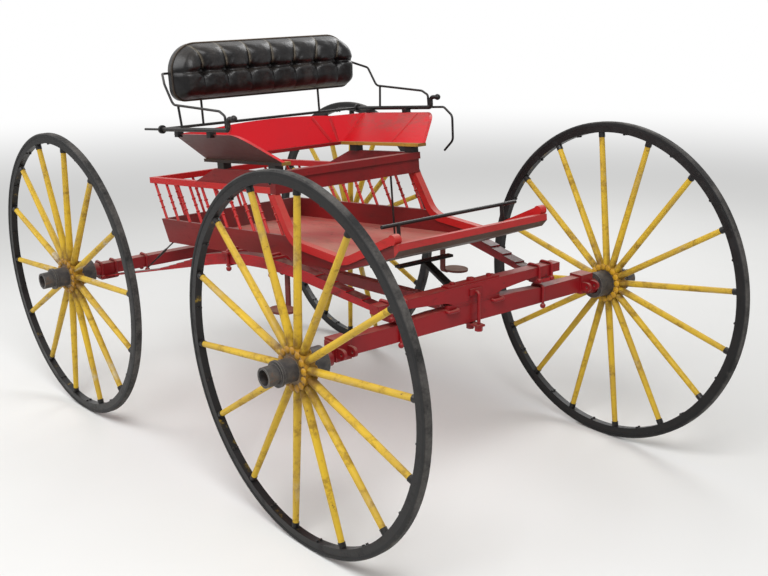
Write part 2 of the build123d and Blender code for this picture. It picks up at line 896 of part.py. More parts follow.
side_run = pillar_at_panel_top - moulding_width - spindle_first + lean_back(panel_height)
side_count = int(side_run / spindle_pitch) + 1
tail_pitch = 2 * panel_inner / (tail_spindle_count + 1)
with BuildPart() as spindles:
    for side in sides:
        for count in range(side_count):
            forwards = spindle_first - lean_back(panel_height) + count * spindle_pitch
            add_spindle(forwards, sides[side] * (body_half_width - side_thickness / 2))
    for count in range(tail_spindle_count):
        left = (count + 1) * tail_pitch - panel_inner
        add_spindle(side_thickness / 2 - lean_back(panel_height), left)
    with BuildSketch(body_level(panel_height)) as between:
        Rectangle(4 * body_rear, 4 * body_half_width)
    extrude(between.sketch, amount=spindle_run, mode=Mode.INTERSECT)
write(spindles, "spindles")

# Seat riser: a slanted board on each side rail and a moulded beam across the front
riser_top = rail_top + riser_height
with BuildPart() as seat_riser:
    for side in sides:
        near = sides[side] * (body_half_width - (rail_size - riser_thickness) / 2)
        with BuildSketch(body_side(near)) as riser:
            with BuildLine():
                Polyline(
                    (-riser_rear_bottom, rail_top),
                    (rail_front, rail_top),
                    (rail_front, riser_top),
                    (-riser_rear_top, riser_top),
                    close=True,
                )
            make_face()
        extrude(riser.sketch, amount=sides[side] * riser_thickness)
write(seat_riser, "seat_riser")

with BuildPart() as seat_beam:
    with BuildSketch(body_side(-body_half_width)) as beam:
        with BuildLine():
            Polyline(
                (rail_front, rail_height),
                (rail_front + beam_depth, rail_height),
                (rail_front + beam_depth, riser_top - beam_cap_height),
                (rail_front + beam_depth + beam_cap_proud, riser_top - beam_cap_height),
                (rail_front + beam_depth + beam_cap_proud, riser_top),
                (rail_front, riser_top),
                close=True,
            )
        make_face()
    extrude(beam.sketch, amount=-2 * body_half_width)
write(seat_beam, "seat_beam")

# Seat: a back and two spreading wings with slanted rear corners, on strips that leave it open below
seat_half_width = body_half_width - seat_inset
strip_base = riser_top + seat_gap
wall_base = strip_base + seat_strip_thickness
wall_top = wall_base + seat_wall_rise
wing_top_half = seat_half_width + wing_spread
strip_inner = seat_half_width - seat_strip_inset
strip_rear = seat_rear + seat_strip_outset
with BuildPart() as seat_rear_strip:
    with BuildSketch(body_level(strip_base)) as strip:
        with Locations(((seat_strip_inset - seat_rear - strip_rear) / 2, 0)):
            Rectangle(seat_strip_inset + seat_strip_outset, 2 * strip_inner)
    extrude(strip.sketch, amount=seat_strip_thickness)
write(seat_rear_strip, "seat_rear_strip")

with BuildPart() as seat_side_strips:
    with BuildSketch(body_level(strip_base)) as strip:
        for side in sides:
            middle = seat_half_width + (seat_strip_outset - seat_strip_inset) / 2
            with Locations(((seat_front - strip_rear) / 2, sides[side] * middle)):
                Rectangle(seat_front + strip_rear, seat_strip_inset + seat_strip_outset)
    extrude(strip.sketch, amount=seat_strip_thickness)
write(seat_side_strips, "seat_side_strips")


def add_seat_form(low, high, wing_offset, back_offset, front, mode=Mode.ADD):
    """Adds or cuts the spreading form between two shares of the walls' height."""
    levels = []
    for share in (low, high):
        half = seat_half_width + wing_spread * share + wing_offset
        rear = seat_rear + back_lean * share + back_offset
        cut = corner_cut_low + (corner_cut_high - corner_cut_low) * share
        with BuildSketch(body_level(wall_base + seat_wall_rise * share)) as level:
            with BuildLine():
                Polyline(
                    (front, -half),
                    (front, half),
                    (cut * corner_cut_share - rear, half),
                    (-rear, half - cut),
                    (-rear, cut - half),
                    (cut * corner_cut_share - rear, -half),
                    close=True,
                )
            make_face()
        levels.append(level.sketch)
    loft(sections=levels, ruled=True, mode=mode)


wing_skin = seat_wall_thickness * hypot(wing_spread, seat_wall_rise) / seat_wall_rise
back_skin = seat_wall_thickness * hypot(back_lean, seat_wall_rise) / seat_wall_rise
crown_half = wing_top_half - corner_cut_high
crown_share = 1 + 2 * back_crown / seat_wall_rise
above_seat = wall_top + 3 * back_crown
with BuildPart() as seat_walls:
    add_seat_form(0, crown_share, wing_skin, back_skin, seat_front)
    add_seat_form(
        -seat_cut_share, crown_share + seat_cut_share, 0, 0, seat_front + overrun, mode=Mode.SUBTRACT
    )
    with BuildSketch(body_side(0)) as front_cut:
        with BuildLine():
            edge = FilletPolyline(
                (seat_front, wall_base),
                (wing_top_front, wall_top),
                (-wing_level_rear, wall_top),
                radius=wing_corner_radius,
            )
            Polyline(
                edge @ 1,
                (-wing_level_rear, above_seat),
                (seat_front + overrun, above_seat),
                (seat_front + overrun, wall_base),
                edge @ 0,
            )
        make_face()
    extrude(front_cut.sketch, amount=2 * wing_top_half, both=True, mode=Mode.SUBTRACT)
    with BuildSketch(body_across(0)) as top_cut:
        with BuildLine():
            crown = ThreePointArc(
                (-crown_half, wall_top), (0, wall_top + back_crown), (crown_half, wall_top)
            )
            Polyline(
                crown @ 1,
                (2 * wing_top_half, wall_top),
                (2 * wing_top_half, above_seat),
                (-2 * wing_top_half, above_seat),
                (-2 * wing_top_half, wall_top),
                crown @ 0,
            )
        make_face()
    extrude(top_cut.sketch, amount=2 * seat_rear, both=True, mode=Mode.SUBTRACT)
write(seat_walls, "seat_walls")

foot_inner = seat_half_width - seat_foot_inset
foot_outer = body_half_width - (rail_size - riser_thickness) / 2
with BuildPart() as seat_feet:
    with BuildSketch(body_level(riser_top)) as feet:
        with Locations(*[
            (place, sides[side] * (foot_inner + foot_outer) / 2)
            for place in (rail_front + beam_depth / 2, -riser_rear_top + seat_foot_length)
            for side in sides
        ]):
            Rectangle(seat_foot_length, foot_outer - foot_inner)
    extrude(feet.sketch, amount=seat_gap)
write(seat_feet, "seat_feet")

# Clips: a bent iron round a bar, with a ball nut on each leg
def add_clip(frame, half_width, above, below):
    """The clip's own plane: x across the bar, y upwards, its origin on the bar's middle."""
    leg = half_width + clip_radius
    bridge = above + clip_radius
    corners = [(-leg, -below), (-leg, bridge), (leg, bridge), (leg, -below)]
    points = [frame.from_local_coords(Vector(x, y, 0)) for x, y in corners]
    add_rod(points, clip_radius, [2 * clip_radius] * 2)
    with Locations(points[0], points[3]):
        Sphere(ball_nut_radius)


def upright_clip_frame(place, left, height):
    """A clip round a beam that runs from side to side."""
    return Plane(origin=(place, left, height), x_dir=(1, 0, 0), z_dir=(0, -1, 0))


bed_grip = axle_bed_width / 2 + face_clearance
bolster_grip = bolster_width / 2 + face_clearance
clip_tail = ball_nut_radius + face_clearance

# Saddles: they seat the slanting spring ends under the rear axle and under the bolster
with BuildPart() as spring_saddles:
    for side in sides:
        left = sides[side] * spring_rear_y
        add_bar(
            (rear_axle_x - axle_bed_width / 2, left - saddle_half_length, spring_rear_z - saddle_lip),
            (rear_axle_x + axle_bed_width / 2, left + saddle_half_length, rear_bed_bottom),
        )
        left = sides[side] * spring_front_y
        add_bar(
            (front_axle_x - bolster_width / 2, left - saddle_half_length, spring_front_z - saddle_lip),
            (front_axle_x + bolster_width / 2, left + saddle_half_length, bolster_end_base),
        )
    add(side_springs.part, mode=Mode.SUBTRACT)
write(spring_saddles, "spring_saddles")

with BuildPart() as end_clips:
    for side in sides:
        for offset in (-saddle_clip_offset, saddle_clip_offset):
            add_clip(
                upright_clip_frame(rear_axle_x, sides[side] * spring_rear_y + offset, bed_middle_rear),
                bed_grip,
                rear_bed_half + face_clearance,
                bed_middle_rear - spring_rear_z - leaf_thickness,
            )
            add_clip(
                upright_clip_frame(front_axle_x, sides[side] * spring_front_y + offset, bolster_top),
                bolster_grip,
                face_clearance,
                bolster_top - spring_front_z - leaf_thickness,
            )
        add_clip(
            upright_clip_frame(rear_axle_x, sides[side] * tail_stay_axle_y, bed_middle_rear),
            bed_grip,
            rear_bed_half + face_clearance,
            rear_bed_half + clip_tail,
        )
    add(rear_axle.part, mode=Mode.SUBTRACT)
    add(bolster.part, mode=Mode.SUBTRACT)
    add(spring_saddles.part, mode=Mode.SUBTRACT)
    add(side_springs.part, mode=Mode.SUBTRACT)
write(end_clips, "end_clips")

with BuildPart() as front_axle_clips:
    for side in sides:
        add_clip(
            upright_clip_frame(front_axle_x, sides[side] * front_bed_rise_start, bed_middle_front),
            bed_grip,
            front_bed_half + face_clearance,
            front_bed_half + clip_tail,
        )
    add(front_axle.part, mode=Mode.SUBTRACT)
write(front_axle_clips, "front_axle_clips")


def spring_point(side, forwards, over):
    """A point of the spring's bend, at a place along the body, over the lowest leaf's underside."""
    frame, span = spring_frame(side)
    middle = body_frame.to_local_coords(frame.origin)
    along = (forwards - middle.X) / frame.x_dir.dot(body_frame.x_dir)
    centre = crest_point(span, -spring_bend_radius)
    return frame, along, centre.Y + ((spring_bend_radius + over) ** 2 - (along - centre.X) ** 2) ** 0.5


with BuildPart() as spring_clips:
    for side in sides:
        for place in hanger_places:
            frame, along, low = spring_point(side, place, 0)
            level = Plane(
                origin=frame.from_local_coords(Vector(along, low, 0)),
                x_dir=frame.z_dir,
                z_dir=frame.x_dir * -1,
            )
            add_clip(
                level,
                leaf_width / 2 + face_clearance,
                leaf_pack + hanger_thickness + face_clearance,
                clip_tail + clip_plate_thickness,
            )
            plate_middle = level.from_local_coords(Vector(0, -clip_plate_thickness, 0))
            with BuildSketch(Plane(origin=plate_middle, x_dir=level.x_dir, z_dir=level.y_dir)) as plate:
                Rectangle(leaf_width + 4 * clip_radius, clip_plate_width)
            extrude(plate.sketch, amount=clip_plate_thickness)
    add(side_springs.part, mode=Mode.SUBTRACT)
write(spring_clips, "spring_clips")

# Hanger bars: they lie on both springs and drop to carry the body between them
with BuildPart() as hanger_bars:
    for place in hanger_places:
        frame, along, top = spring_point("left", place, leaf_pack)
        seat = body_frame.to_local_coords(frame.from_local_coords(Vector(along, top, 0)))
        seat_height = seat.Z + hanger_thickness / 2 - hanger_bedding
        outer = seat.Y + leaf_width / 2 + 3 * clip_radius
        inner = seat.Y - leaf_width / 2 - 3 * clip_radius
        under = -hanger_thickness / 2
        with BuildSketch(body_across(place)) as strap:
            with BuildLine():
                FilletPolyline(
                    (-outer, seat_height),
                    (-inner, seat_height),
                    (-body_half_width - hanger_foot, under),
                    (body_half_width + hanger_foot, under),
                    (inner, seat_height),
                    (outer, seat_height),
                    radius=hanger_bend_radius,
                )
            trace(line_width=hanger_thickness)
        extrude(strap.sketch, amount=hanger_width / 2, both=True)
    add(side_springs.part, mode=Mode.SUBTRACT)
    add(spring_clips.part, mode=Mode.SUBTRACT)
write(hanger_bars, "hanger_bars")

# Shaft couplings: a band round each end of the front axle bed, with two drilled ears in front
with BuildPart() as shaft_couplings:
    band_half_x = axle_bed_width / 2 + coupling_wall
    band_half_z = front_bed_half + coupling_wall
    ear_x = front_axle_x + band_half_x + coupling_ear_reach
    ear_z = bed_middle_front - coupling_ear_drop
    for side in sides:
        left = sides[side] * coupling_y
        with Locations((front_axle_x, left, bed_middle_front)):
            Box(2 * band_half_x, coupling_block_length, 2 * band_half_z)
        for offset in (-coupling_ear_spread / 2, coupling_ear_spread / 2):
            face = left + offset + coupling_ear_thickness / 2
            with BuildSketch(Plane.XZ.offset(-face)) as ear:
                with Locations((ear_x, ear_z)):
                    Circle(coupling_ear_radius)
                with Locations(((ear_x + front_axle_x) / 2, ear_z)):
                    Rectangle(ear_x - front_axle_x, 2 * coupling_ear_radius)
                with Locations((ear_x, ear_z)):
                    Circle(coupling_bolt_radius, mode=Mode.SUBTRACT)
            extrude(ear.sketch, amount=coupling_ear_thickness)
    add(front_axle.part, mode=Mode.SUBTRACT)
write(shaft_couplings, "shaft_couplings")

# Guides: a short round iron stands in front of the axle bed on each side of the kingbolt
with BuildPart() as axle_guides:
    guide_x = front_axle_x + axle_bed_width / 2 + 2 * guide_radius
    guide_z = front_bed_top - guide_radius
    for side in sides:
        near = sides[side] * (guide_y - guide_length / 2)
        far = sides[side] * (guide_y + guide_length / 2)
        face = front_axle_x + axle_bed_width / 2
        add_rod(
            [(face, near, guide_z), (guide_x, near, guide_z), (guide_x, far, guide_z), (face, far, guide_z)],
            guide_radius,
            [guide_radius * 1.5, guide_radius * 1.5],
        )
write(axle_guides, "axle_guides")

# Tail stays: a thin iron with a sleeve, from each rear corner of the body to the axle
with BuildPart() as tail_stays:
    for side in sides:
        top = body_point(tail_stay_inset - body_rear, sides[side] * (body_half_width - side_thickness), 0)
        foot = Vector(
            rear_axle_x + axle_bed_width / 2 + 2 * clip_radius + tail_stay_radius,
            sides[side] * tail_stay_axle_y,
            rear_bed_bottom,
        )
        add_rod([top, foot], tail_stay_radius)
        reach_down = foot - top
        add_rod([top + reach_down * share for share in tail_sleeve_shares], tail_stay_sleeve_radius)
    add(end_clips.part, mode=Mode.SUBTRACT)
    add(side_panels.part, mode=Mode.SUBTRACT)
    add(tail_panel.part, mode=Mode.SUBTRACT)
write(tail_stays, "tail_stays")

# Seat irons: a rod along the top of each wing, a rail behind the seat and a rail over each arm
rod_height = wall_top + rod_lift
rod_half_spread = wing_top_half + rod_outset
rod_tip = rod_front + iron_radius + rod_upturn
backrest_rear = backrest_front + backrest_thickness
board_rear = backrest_rear + backboard_thickness
post_line = board_rear + back_post_radius
with BuildPart() as seat_irons:
    for side in sides:
        lateral = sides[side] * rod_half_spread
        add_rod(
            [body_point(-rod_rear, lateral, rod_height), body_point(-rod_collar_x, lateral, rod_height)],
            rod_tail_radius,
        )
        add_rod(
            [
                body_point(-rod_collar_x, lateral, rod_height),
                body_point(rod_tip - rod_upturn, lateral, rod_height),
                body_point(rod_tip - rod_upturn, lateral, rod_height + rod_upturn),
                body_point(rod_tip, lateral, rod_height + rod_upturn),
            ],
            iron_radius,
            [rod_upturn_bend, rod_upturn_bend],
        )
        with Locations(body_point(rod_tip, lateral, rod_height + rod_upturn)):
            Sphere(knob_radius)
        with BuildSketch(body_across(-rod_collar_x)) as collar:
            with Locations((lateral, rod_height)):
                Circle(rod_collar_radius)
        extrude(collar.sketch, amount=rod_collar_length / 2, both=True)
        with BuildSketch(body_level(wall_top - seat_wall_thickness)) as foot:
            with Locations(*[
                (place, lateral - sides[side] * rod_foot_inset) for place in rod_foot_places
            ]):
                Rectangle(rod_foot_length, rod_foot_width)
        extrude(foot.sketch, amount=rod_lift + seat_wall_thickness - iron_radius / 2)
    add_rod(
        [
            body_point(-post_line, -rod_half_spread, rod_height),
            body_point(-post_line, rod_half_spread, rod_height),
        ],
        back_rail_radius,
    )
    add(seat_walls.part, mode=Mode.SUBTRACT)
write(seat_irons, "seat_irons")

# Backrest: a long rounded cushion on a board that two posts carry
backrest_half_length = rod_half_spread - backrest_inset
backrest_middle = backrest_low + backrest_height / 2
with BuildPart() as backrest:
    with BuildSketch(body_across(-backrest_rear)) as outline:
        with Locations((0, backrest_middle)):
            Rectangle(2 * backrest_half_length, backrest_height)
        fillet(outline.vertices().group_by(Axis.Y)[-1], backrest_top_radius)
        fillet(outline.vertices().group_by(Axis.Y)[0], backrest_bottom_radius)
    extrude(outline.sketch, amount=backrest_thickness)
    fillet(backrest.faces().sort_by(Axis.X)[-1].edges(), backrest_edge_radius)
write(backrest, "backrest")

with BuildPart() as backrest_board:
    with BuildSketch(body_across(-board_rear)):
        with Locations((0, backrest_middle)):
            RectangleRounded(
                2 * (backrest_half_length - backboard_margin),
                backrest_height - 2 * backboard_margin,
                backboard_corner_radius,
            )
    extrude(amount=backboard_thickness)
write(backrest_board, "backrest_board")

with BuildPart() as back_posts:
    for side in sides:
        lateral = sides[side] * back_post_spread
        add_rod(
            [
                body_point(-post_line, lateral, rod_height),
                body_point(-post_line, lateral, backrest_middle + backboard_margin),
            ],
            back_post_radius,
        )
    add(seat_irons.part, mode=Mode.SUBTRACT)
    add(backrest_board.part, mode=Mode.SUBTRACT)
write(back_posts, "back_posts")

# Arm rail: forwards, outwards and up, each measured in the body's frame
arm_start = board_rear + arm_radius
arm_half_spread = rod_half_spread + arm_outset
arm_route = [
    (-arm_start, backrest_half_length - 2 * backboard_margin, backrest_middle),
    (-arm_start, backrest_half_length + arm_clear, backrest_middle),
    (-arm_shoulder_x, arm_half_spread, arm_shoulder_height),
    (-arm_elbow_x, arm_half_spread, arm_height + arm_slope),
    (arm_front_x - arm_drop_run, rod_half_spread, arm_height),
    (arm_front_x, rod_half_spread, arm_height - arm_drop_run / 2),
    (arm_front_x, rod_half_spread, rod_height),
]
with BuildPart() as arm_rails:
    for side in sides:
        add_rod([body_point(x, sides[side] * y, z) for x, y, z in arm_route], arm_radius, arm_bends)
        add_rod(
            [
                body_point(-arm_post_x, sides[side] * rod_half_spread, rod_height),
                body_point(
                    -arm_post_x, sides[side] * (rod_half_spread + arm_post_outset), arm_height + arm_slope
                ),
            ],
            arm_radius,
        )
    add(seat_irons.part, mode=Mode.SUBTRACT)
    add(backrest_board.part, mode=Mode.SUBTRACT)
    add(backrest.part, mode=Mode.SUBTRACT)
write(arm_rails, "arm_rails")

with BuildPart() as hook_rod:
    add_rod(
        [
            body_point(x, rod_half_spread + iron_radius + hook_radius, rod_height + z)
            for x, z in hook_route
        ],
        hook_radius,
        hook_bends,
    )
write(hook_rod, "hook_rod")

# Foot rail on two posts whose pads lie on the toe board, and a thin rod under the seat beam
toe_slope = toe_rise / (toe_front - toe_kink)
with BuildPart() as foot_rail:
    add_rod(
        [
            body_point(foot_rail_x, -foot_rail_half_length, foot_rail_height),
            body_point(foot_rail_x, foot_rail_half_length, foot_rail_height),
        ],
        foot_rail_radius,
    )
    for side in sides:
        lateral = sides[side] * foot_post_spread
        board = (foot_rail_x - toe_kink) * toe_slope + floor_thickness
        rise = foot_pad_size * toe_slope / 2
        with BuildSketch(body_side(lateral)) as pad:
            with BuildLine():
                Polyline(
                    (foot_rail_x - foot_pad_size / 2, board - rise),
                    (foot_rail_x + foot_pad_size / 2, board + rise),
                    (foot_rail_x + foot_pad_size / 2, board + rise + foot_pad_thickness),
                    (foot_rail_x - foot_pad_size / 2, board - rise + foot_pad_thickness),
                    close=True,
                )
            make_face()
        extrude(pad.sketch, amount=foot_pad_size / 2, both=True)
        base = board + foot_pad_thickness / 2
        add_rod(
            [body_point(foot_rail_x, lateral, base), body_point(foot_rail_x, lateral, foot_rail_height)],
            foot_rail_radius,
        )
write(foot_rail, "foot_rail")

with BuildPart() as prop_rod:
    add_rod(
        [body_point(prop_x, prop_rod_y, 0), body_point(prop_x, prop_rod_y, rail_height)],
        prop_rod_radius,
    )
write(prop_rod, "prop_rod")

# Steps: an oval tread hangs on a flat iron from the front hanger bar
step_bar_x = body_point(hanger_places[1], 0, -hanger_thickness).X
step_bar_z = body_point(hanger_places[1], 0, -hanger_thickness).Z - step_hanger_thickness / 2
step_z = step_bar_z - step_drop
with BuildPart() as steps:
    for side in sides:
        with BuildSketch(elevation(step_bar_x)) as strap:
            with BuildLine():
                FilletPolyline(
                    (sides[side] * (body_half_width - step_hanger_inset), step_bar_z),
                    (sides[side] * step_hanger_y, step_bar_z),
                    (sides[side] * step_hanger_y, step_z - step_thickness / 2),
                    (sides[side] * (step_y + step_width / 4), step_z - step_thickness / 2),
                    radius=step_hanger_bend,
                )
            trace(line_width=step_hanger_thickness)
        extrude(strap.sketch, amount=step_hanger_width / 2, both=True)
        with BuildSketch(Plane.XY.offset(step_z)) as tread:
            with Locations((step_x, sides[side] * step_y)):
                Ellipse(step_length / 2, step_width / 2)
        extrude(tread.sketch, amount=step_thickness)
    add(hanger_bars.part, mode=Mode.SUBTRACT)
write(steps, "steps")
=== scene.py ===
# %% [markdown]
# # A doctor buggy in Blender
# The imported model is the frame: every wheel, axle, spring and board is already in its place, in
# metres. This lesson gives those parts their finishes, adds the small things that repeat, and
# makes the tufted back cushion as soft goods. Each step says what the real thing is first.

# %% Load the frame
import json
import math

import bmesh
import bpy
import numpy as np
from mathutils import Matrix, Vector, noise


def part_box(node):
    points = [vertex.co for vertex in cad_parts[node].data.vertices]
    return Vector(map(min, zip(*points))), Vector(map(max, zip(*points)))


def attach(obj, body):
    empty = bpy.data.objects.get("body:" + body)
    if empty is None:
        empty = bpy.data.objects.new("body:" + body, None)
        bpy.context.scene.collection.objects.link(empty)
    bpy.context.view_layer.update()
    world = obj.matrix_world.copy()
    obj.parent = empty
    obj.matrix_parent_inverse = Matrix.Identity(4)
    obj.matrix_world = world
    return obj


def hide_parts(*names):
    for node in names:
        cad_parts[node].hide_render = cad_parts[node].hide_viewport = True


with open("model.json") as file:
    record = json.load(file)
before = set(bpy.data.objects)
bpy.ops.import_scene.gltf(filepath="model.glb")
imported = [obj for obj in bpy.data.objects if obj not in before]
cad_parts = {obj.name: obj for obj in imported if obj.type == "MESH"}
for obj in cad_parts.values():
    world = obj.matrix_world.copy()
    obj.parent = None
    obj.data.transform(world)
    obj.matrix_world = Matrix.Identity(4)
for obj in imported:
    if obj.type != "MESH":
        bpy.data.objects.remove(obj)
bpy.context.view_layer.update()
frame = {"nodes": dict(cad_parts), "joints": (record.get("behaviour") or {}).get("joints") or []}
nodes = frame["nodes"]
joints = {joint["name"]: joint for joint in frame["joints"]}

# %% [markdown]
# ## Camera, light and floor
# The photograph is taken from the buggy's right front, a little above the seat. The camera could be
# placed by eye, but its place was worked out from the rims of the four wheels, so the render can be
# laid over the photograph. A pale floor keeps the shadow. The world is white for what the camera
# and the gloss see and dimmer as a lamp, so that a colour comes out about as it is written.

# %% Camera
CAMERA_PLACE = Vector((3.429, -2.551, 1.746))
CAMERA_YAW, CAMERA_PITCH, CAMERA_ROLL = (math.radians(turn) for turn in (50.64, 15.68, -0.84))
IMAGE_WIDTH, FOCAL_PIXELS, SENSOR_WIDTH = 768, 1134, 36

backwards = Vector((
    math.sin(CAMERA_YAW) * math.cos(CAMERA_PITCH),
    -math.cos(CAMERA_YAW) * math.cos(CAMERA_PITCH),
    math.sin(CAMERA_PITCH),
))
level_right = Vector((0, 0, 1)).cross(backwards).normalized()
level_up = backwards.cross(level_right)
camera_right = level_right * math.cos(CAMERA_ROLL) + level_up * math.sin(CAMERA_ROLL)
camera_up = level_up * math.cos(CAMERA_ROLL) - level_right * math.sin(CAMERA_ROLL)

camera_data = bpy.data.cameras.new("camera")
camera_data.sensor_width = SENSOR_WIDTH
camera_data.lens = SENSOR_WIDTH * FOCAL_PIXELS / IMAGE_WIDTH
camera = bpy.data.objects.new("camera", camera_data)
bpy.context.scene.collection.objects.link(camera)
camera.matrix_world = Matrix.Translation(CAMERA_PLACE) @ Matrix(
    (camera_right, camera_up, backwards)
).transposed().to_4x4()
bpy.context.scene.camera = camera
bpy.context.scene.view_settings.view_transform = "Standard"
print("camera: lens", round(camera_data.lens, 1), "mm")

# %% [markdown]
# ## A small language for materials
# A material is a graph of nodes, and a graph is hard to read as code. One class wraps a socket, so
# that masks can be written as sums: `1 - rust * 0.5` adds the Math nodes by itself. Another class
# holds one material and gives the few nodes that every finish here needs.

# %% Sockets that can be added and multiplied
class Value:
    """An output socket of a finish. Sums and products on it add Math nodes."""

    def __init__(self, finish, socket):
        self.finish = finish
        self.socket = socket

    def __add__(self, other):
        return self.finish.maths("ADD", self, other)

    def __radd__(self, other):
        return self.finish.maths("ADD", other, self)

    def __sub__(self, other):
        return self.finish.maths("SUBTRACT", self, other)

    def __rsub__(self, other):
        return self.finish.maths("SUBTRACT", other, self)

    def __mul__(self, other):
        return self.finish.maths("MULTIPLY", self, other)

    def __rmul__(self, other):
        return self.finish.maths("MULTIPLY", other, self)

    def __truediv__(self, other):
        return self.finish.maths("DIVIDE", self, other)


print("sockets: + - * and / add Math nodes")


# %% One material and its usual nodes
PAINT_SPECULAR = 0.28
# The Mix node has a set of sockets for each type. These are the numbers of the colour ones.
MIX_FACTOR, MIX_FIRST, MIX_SECOND, MIX_RESULT = 0, 6, 7, 2


class Finish:
    """One material. Each method adds a node and returns its output as a Value."""

    def __init__(self, name):
        self.material = bpy.data.materials.new(name)
        self.material.use_nodes = True
        self.tree = self.material.node_tree
        self.tree.nodes.clear()
        self.end = self.tree.nodes.new("ShaderNodeOutputMaterial")

    def node(self, kind, settings, inputs, output=0):
        """Adds a node: its settings come first, then its sockets, by name or by number."""
        made = self.tree.nodes.new(kind)
        for name, value in settings.items():
            setattr(made, name, value)
        for key, value in inputs.items():
            if isinstance(value, Value):
                self.tree.links.new(value.socket, made.inputs[key])
            else:
                made.inputs[key].default_value = value
        return Value(self, made.outputs[output])

    def maths(self, operation, *values, clamp=False):
        settings = {"operation": operation, "use_clamp": clamp}
        return self.node("ShaderNodeMath", settings, dict(enumerate(values)))

    def vector_maths(self, operation, *values):
        """A vector operation whose result is a number."""
        settings = {"operation": operation}
        return self.node("ShaderNodeVectorMath", settings, dict(enumerate(values)), "Value")

    def mirrored(self):
        """Object coordinates with the right side folded over onto the left one."""
        x, y, z = self.parts(self.node("ShaderNodeTexCoord", {}, {}, "Object"))
        return self.node("ShaderNodeCombineXYZ", {}, {0: x, 1: self.maths("ABSOLUTE", y), 2: z})

    def where(self, origin=(0, 0, 0), turn=(0, 0, 0), stretch=(1, 1, 1), place=None):
        """Object coordinates, as seen from a frame that stands at origin and is turned."""
        if place is None:
            place = self.node("ShaderNodeTexCoord", {}, {}, "Object")
        local = self.node("ShaderNodeMapping", {"vector_type": "TEXTURE"}, {
            "Vector": place, "Location": origin, "Rotation": turn,
        })
        inputs = {"Vector": local, "Scale": stretch}
        return self.node("ShaderNodeMapping", {"vector_type": "POINT"}, inputs)

    def parts(self, vector):
        """The three numbers of a vector."""
        split = self.tree.nodes.new("ShaderNodeSeparateXYZ")
        self.tree.links.new(vector.socket, split.inputs[0])
        return [Value(self, output) for output in split.outputs]

    def noise(self, vector, scale, detail, rough=0.55, warp=0):
        return self.node("ShaderNodeTexNoise", {}, {
            "Vector": vector, "Scale": scale, "Detail": detail, "Roughness": rough, "Distortion": warp,
        })

    def step(self, value, low, high):
        """0 below low, 1 above high and smooth between them."""
        return self.node("ShaderNodeMapRange", {"interpolation_type": "SMOOTHSTEP"}, {
            "Value": value, "From Min": low, "From Max": high,
        })

    def mix(self, factor, first, second):
        """Goes from the first colour to the second one as the factor goes from 0 to 1."""
        inputs = {MIX_FACTOR: factor, MIX_FIRST: first, MIX_SECOND: second}
        return self.node("ShaderNodeMix", {"data_type": "RGBA"}, inputs, MIX_RESULT)

    def normal(self):
        """The direction that the surface looks in."""
        return self.node("ShaderNodeNewGeometry", {}, {}, "Normal")

    def facing_down(self, start=-0.10, end=-0.20):
        """1 where the surface looks downwards. A little is enough, as on a flared wall's outside, which is
        painted in shade.
        """
        return self.step(self.parts(self.normal())[2], start, end)

    def facing_up(self):
        """1 where the surface looks at the sky, 0 where it is upright or looks down."""
        return self.step(self.parts(self.normal())[2], 0.2, 1.0)

    def edges(self, radius):
        """1 along the sharp edges of a piece, where paint wears off first."""
        rounded = self.node("ShaderNodeBevel", {"samples": 4}, {"Radius": radius})
        return self.step(self.vector_maths("DOT_PRODUCT", rounded, self.normal()), 0.995, 0.90)

    def bump(self, height, distance, strength, under=None):
        inputs = {"Height": height, "Distance": distance, "Strength": strength}
        if under is not None:
            inputs["Normal"] = under
        return self.node("ShaderNodeBump", {}, inputs)

    def surface(self, tint, rough, normal, coat=0, coat_rough=0.2):
        """Closes the material with a Principled shader."""
        shader = self.node("ShaderNodeBsdfPrincipled", {}, {
            "Base Color": tint, "Roughness": rough, "Normal": normal,
            "Coat Weight": coat, "Coat Roughness": coat_rough, "Specular IOR Level": PAINT_SPECULAR,
        })
        self.tree.links.new(shader.socket, self.end.inputs["Surface"])
        return self.material


def colour(red, green, blue):
    """A colour as it looks on a screen, 0 to 255, turned into the linear one that shaders use."""
    return tuple((c / 255 / 12.92) if c <= 10 else ((c / 255 + 0.055) / 1.055) ** 2.4
                 for c in (red, green, blue)) + (1.0,)


DUST = colour(158, 140, 122)
print("barn dust, as the shaders see it:", [round(part, 3) for part in DUST[:3]])


# %% Floor
def make_floor():
    """A pale floor that keeps the shadow, and goes over into white away from the buggy."""
    reach, near, far = 40.0, 3.2, 11.0
    bpy.ops.mesh.primitive_grid_add(x_subdivisions=1, y_subdivisions=1, size=2 * reach)
    floor = bpy.context.object
    floor.name = "studio_floor"
    paint = Finish("studio_floor_paint")
    grain = paint.noise(paint.where(), 0.9, 3)
    pale = paint.mix(grain, colour(226, 226, 224), colour(232, 232, 231))
    lit = paint.node("ShaderNodeBsdfDiffuse", {}, {"Color": pale})
    glow = paint.node("ShaderNodeEmission", {}, {"Color": (1, 1, 1, 1), "Strength": 1.0})
    distance = paint.vector_maths("LENGTH", paint.where())
    seen = paint.node("ShaderNodeLightPath", {}, {}, "Is Camera Ray")
    factor = paint.step(distance, near, far) * seen
    both = paint.node("ShaderNodeMixShader", {}, {0: factor, 1: lit, 2: glow})
    paint.tree.links.new(both.socket, paint.end.inputs["Surface"])
    floor.data.materials.append(paint.material)


make_floor()
print("floor: laid under the wheels")

# %% World
ROOM_LIGHT = 0.55


